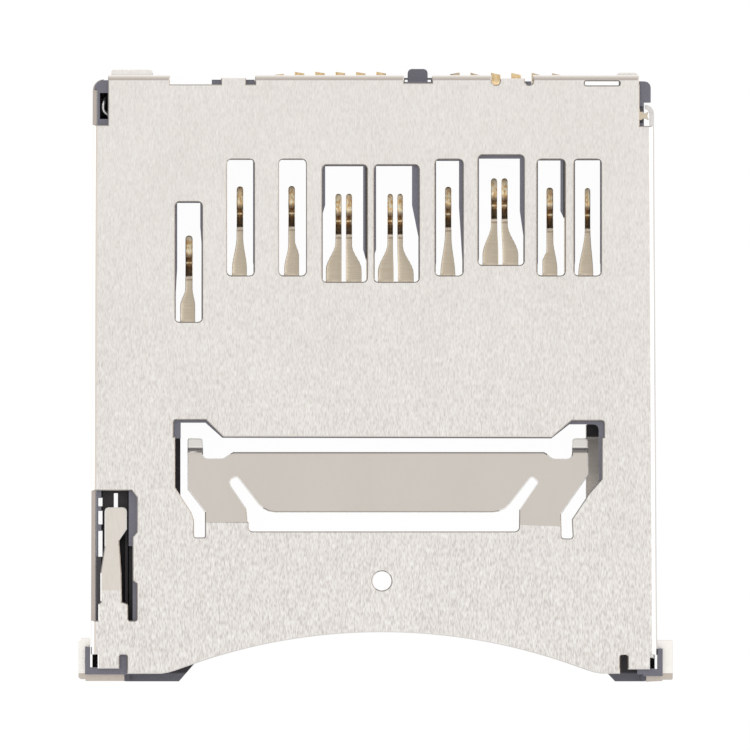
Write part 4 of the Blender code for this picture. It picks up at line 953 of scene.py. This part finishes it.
points = node_points("coil_spring")
coil = swept_circle(coil_path(points.min(0), points.max(0)), (0.0, 1.0, 0.0), COIL_WIRE / 2)
hook = swept_circle(through(HOOK, 40), (1.0, 0.2, 0.0), COIL_WIRE / 2)
spring = dressed(closed_tube([coil, hook], "wound_spring"), "coil_spring", SPRING_WIRE)
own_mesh(spring)
print(spring.name, "faces:", len(spring.data.polygons))

# %% [markdown]
# ## Nodes shown as they are
#
# The cam link and the guide spring are plain enough as solids; they only get their finishes.

# %% Finishes of the plain nodes
for node, finish in (("cam_link", SPRING_WIRE), ("card_guide_spring", SMOOTH_TIN)):
    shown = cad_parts[node]
    shown.data.materials.clear()
    shown.data.materials.append(finish)

# %% [markdown]
# ## Studio
#
# The object is seen from straight above, from far away, so that the walls hardly show. The backdrop is
# a plain floor that the camera sees as white; the light is a soft sky, with a large lamp at the upper
# left and a small one on the right.

# %% [markdown]
# ### Floor
#
# The floor is a pale matt sheet. To the camera, and to what shines in the metal, it shows itself almost
# plain white, as an overexposed backdrop does; a trace of the sheet is mixed in, so that a faint shadow
# of the object stays.

# %% Floor
FLOOR_SIZE = 6.0
FLOOR_GLOW = 0.94
GLOW_STRENGTH = 1.03


def white_floor():
    """Matt pale floor; FLOOR_GLOW is the share of white that the camera and reflections are shown."""
    made, tree, shader = new_finish("floor")
    shader.inputs["Base Color"].default_value = (0.9, 0.9, 0.9, 1.0)
    shader.inputs["Roughness"].default_value = 0.8
    path = add_node(tree, "ShaderNodeLightPath")
    either = add_node(tree, "ShaderNodeMath", {"operation": "MAXIMUM"})
    seen = add_node(tree, "ShaderNodeMath", {"operation": "MULTIPLY"})
    seen.inputs[1].default_value = FLOOR_GLOW
    glow = add_node(tree, "ShaderNodeEmission", Color=(*WHITE, 1.0), Strength=GLOW_STRENGTH)
    mixed = add_node(tree, "ShaderNodeMixShader")
    tree.links.new(path.outputs["Is Camera Ray"], either.inputs[0])
    tree.links.new(path.outputs["Is Glossy Ray"], either.inputs[1])
    tree.links.new(either.outputs[0], seen.inputs[0])
    tree.links.new(seen.outputs[0], mixed.inputs[0])
    tree.links.new(shader.outputs[0], mixed.inputs[1])
    tree.links.new(glow.outputs[0], mixed.inputs[2])
    tree.links.new(mixed.outputs[0], tree.nodes["Material Output"].inputs["Surface"])
    return made


floor_mesh = bpy.data.meshes.new("floor")
half = FLOOR_SIZE / 2
corners = [(-half, -half, 0), (half, -half, 0), (half, half, 0), (-half, half, 0)]
floor_mesh.from_pydata(corners, [], [(0, 1, 2, 3)])
floor = bpy.data.objects.new("floor", floor_mesh)
floor.location.z = -0.02 * MM
floor_mesh.materials.append(white_floor())
bpy.context.scene.collection.objects.link(floor)

# %% [markdown]
# ### Light
#
# A flat plate seen square on shows only what is straight above it, and each bent piece of metal shows
# another part of the room. Overhead is a white soft box. Round it the tent is greyer, and greyest some
# way out towards the rear and the front, where the copy stand is. Low down it is light again, with a
# greyer stretch at its corners, and brightest at the sides. It could be made of lamps and cards, but a
# sky of smooth tones leaves no noise.

# %% Sky and lamps
SKY = (
    (0.0, 1.16), (0.17, 1.06), (0.28, 0.83), (0.47, 0.76), (0.68, 0.55), (0.84, 0.62),
    (0.95, 1.0), (1.05, 1.0), (1.2, 0.75), (1.65, 0.75), (1.9, 1.25),
)
SIDE_SQUEEZE = 2.2


def soft_sky():
    """World whose strength follows m = sqrt((squeeze x)^2 + y^2) of the direction, through the SKY stops.

    The ramp runs from 0 to 1, so m is halved on its way in.
    """
    made = bpy.data.worlds.new("soft_sky")
    made.use_nodes = True
    tree = made.node_tree
    background = tree.nodes["Background"]
    place = add_node(tree, "ShaderNodeTexCoord")
    squeeze = add_node(tree, "ShaderNodeMapping")
    squeeze.inputs["Scale"].default_value = (SIDE_SQUEEZE, 1.0, 0.0)
    length = add_node(tree, "ShaderNodeVectorMath", {"operation": "LENGTH"})
    tree.links.new(place.outputs["Generated"], squeeze.inputs["Vector"])
    tree.links.new(squeeze.outputs["Vector"], length.inputs[0])
    halved = map_range(tree, length.outputs["Value"], 0.0, 2.0, 0.0, 1.0)
    glow = ramp(tree, halved, [(reach / 2, (level, level, level)) for reach, level in SKY])
    path = add_node(tree, "ShaderNodeLightPath")
    white = plain(tree, WHITE)
    tree.links.new(mix_colour(tree, path.outputs["Is Camera Ray"], glow, white), background.inputs["Color"])
    return made


def lamp(name, size, power, place):
    """Square area lamp, size metres wide, aimed at the origin."""
    light = bpy.data.lights.new(name, "AREA")
    light.size = size
    light.energy = power
    made = bpy.data.objects.new(name, light)
    made.location = place
    made.rotation_euler = made.location.to_track_quat("Z", "Y").to_euler()
    bpy.context.scene.collection.objects.link(made)
    return made


bpy.context.scene.world = soft_sky()
lamp("upper_left_lamp", 0.25, 0.35, (-0.35, 0.35, 0.6))
lamp("right_card", 0.12, 0.03, (0.25, 0.0, 0.6))

# %% [markdown]
# ### Camera
#
# The photograph is taken square on from far off, so the camera hangs 1.5 metres above the plate with a
# lens that fills the frame at this distance. The scale comes from the contacts' pitch.

# %% Camera
CAMERA_DISTANCE = 1.5
PIXELS_PER_MM = 20.62
FRAME_PIXELS = 750
IMAGE_CENTRE = (-0.024, 0.036)
camera_data = bpy.data.cameras.new("camera")
camera_data.sensor_width = 36.0
camera_data.lens = camera_data.sensor_width * CAMERA_DISTANCE / (FRAME_PIXELS / PIXELS_PER_MM * MM)
camera_data.clip_start = 0.05
camera_data.clip_end = 20.0
camera = bpy.data.objects.new("camera", camera_data)
camera.location = (IMAGE_CENTRE[0] * MM, IMAGE_CENTRE[1] * MM, TOP * MM + CAMERA_DISTANCE)
bpy.context.scene.collection.objects.link(camera)
bpy.context.scene.camera = camera
bpy.context.scene.view_settings.view_transform = "Standard"
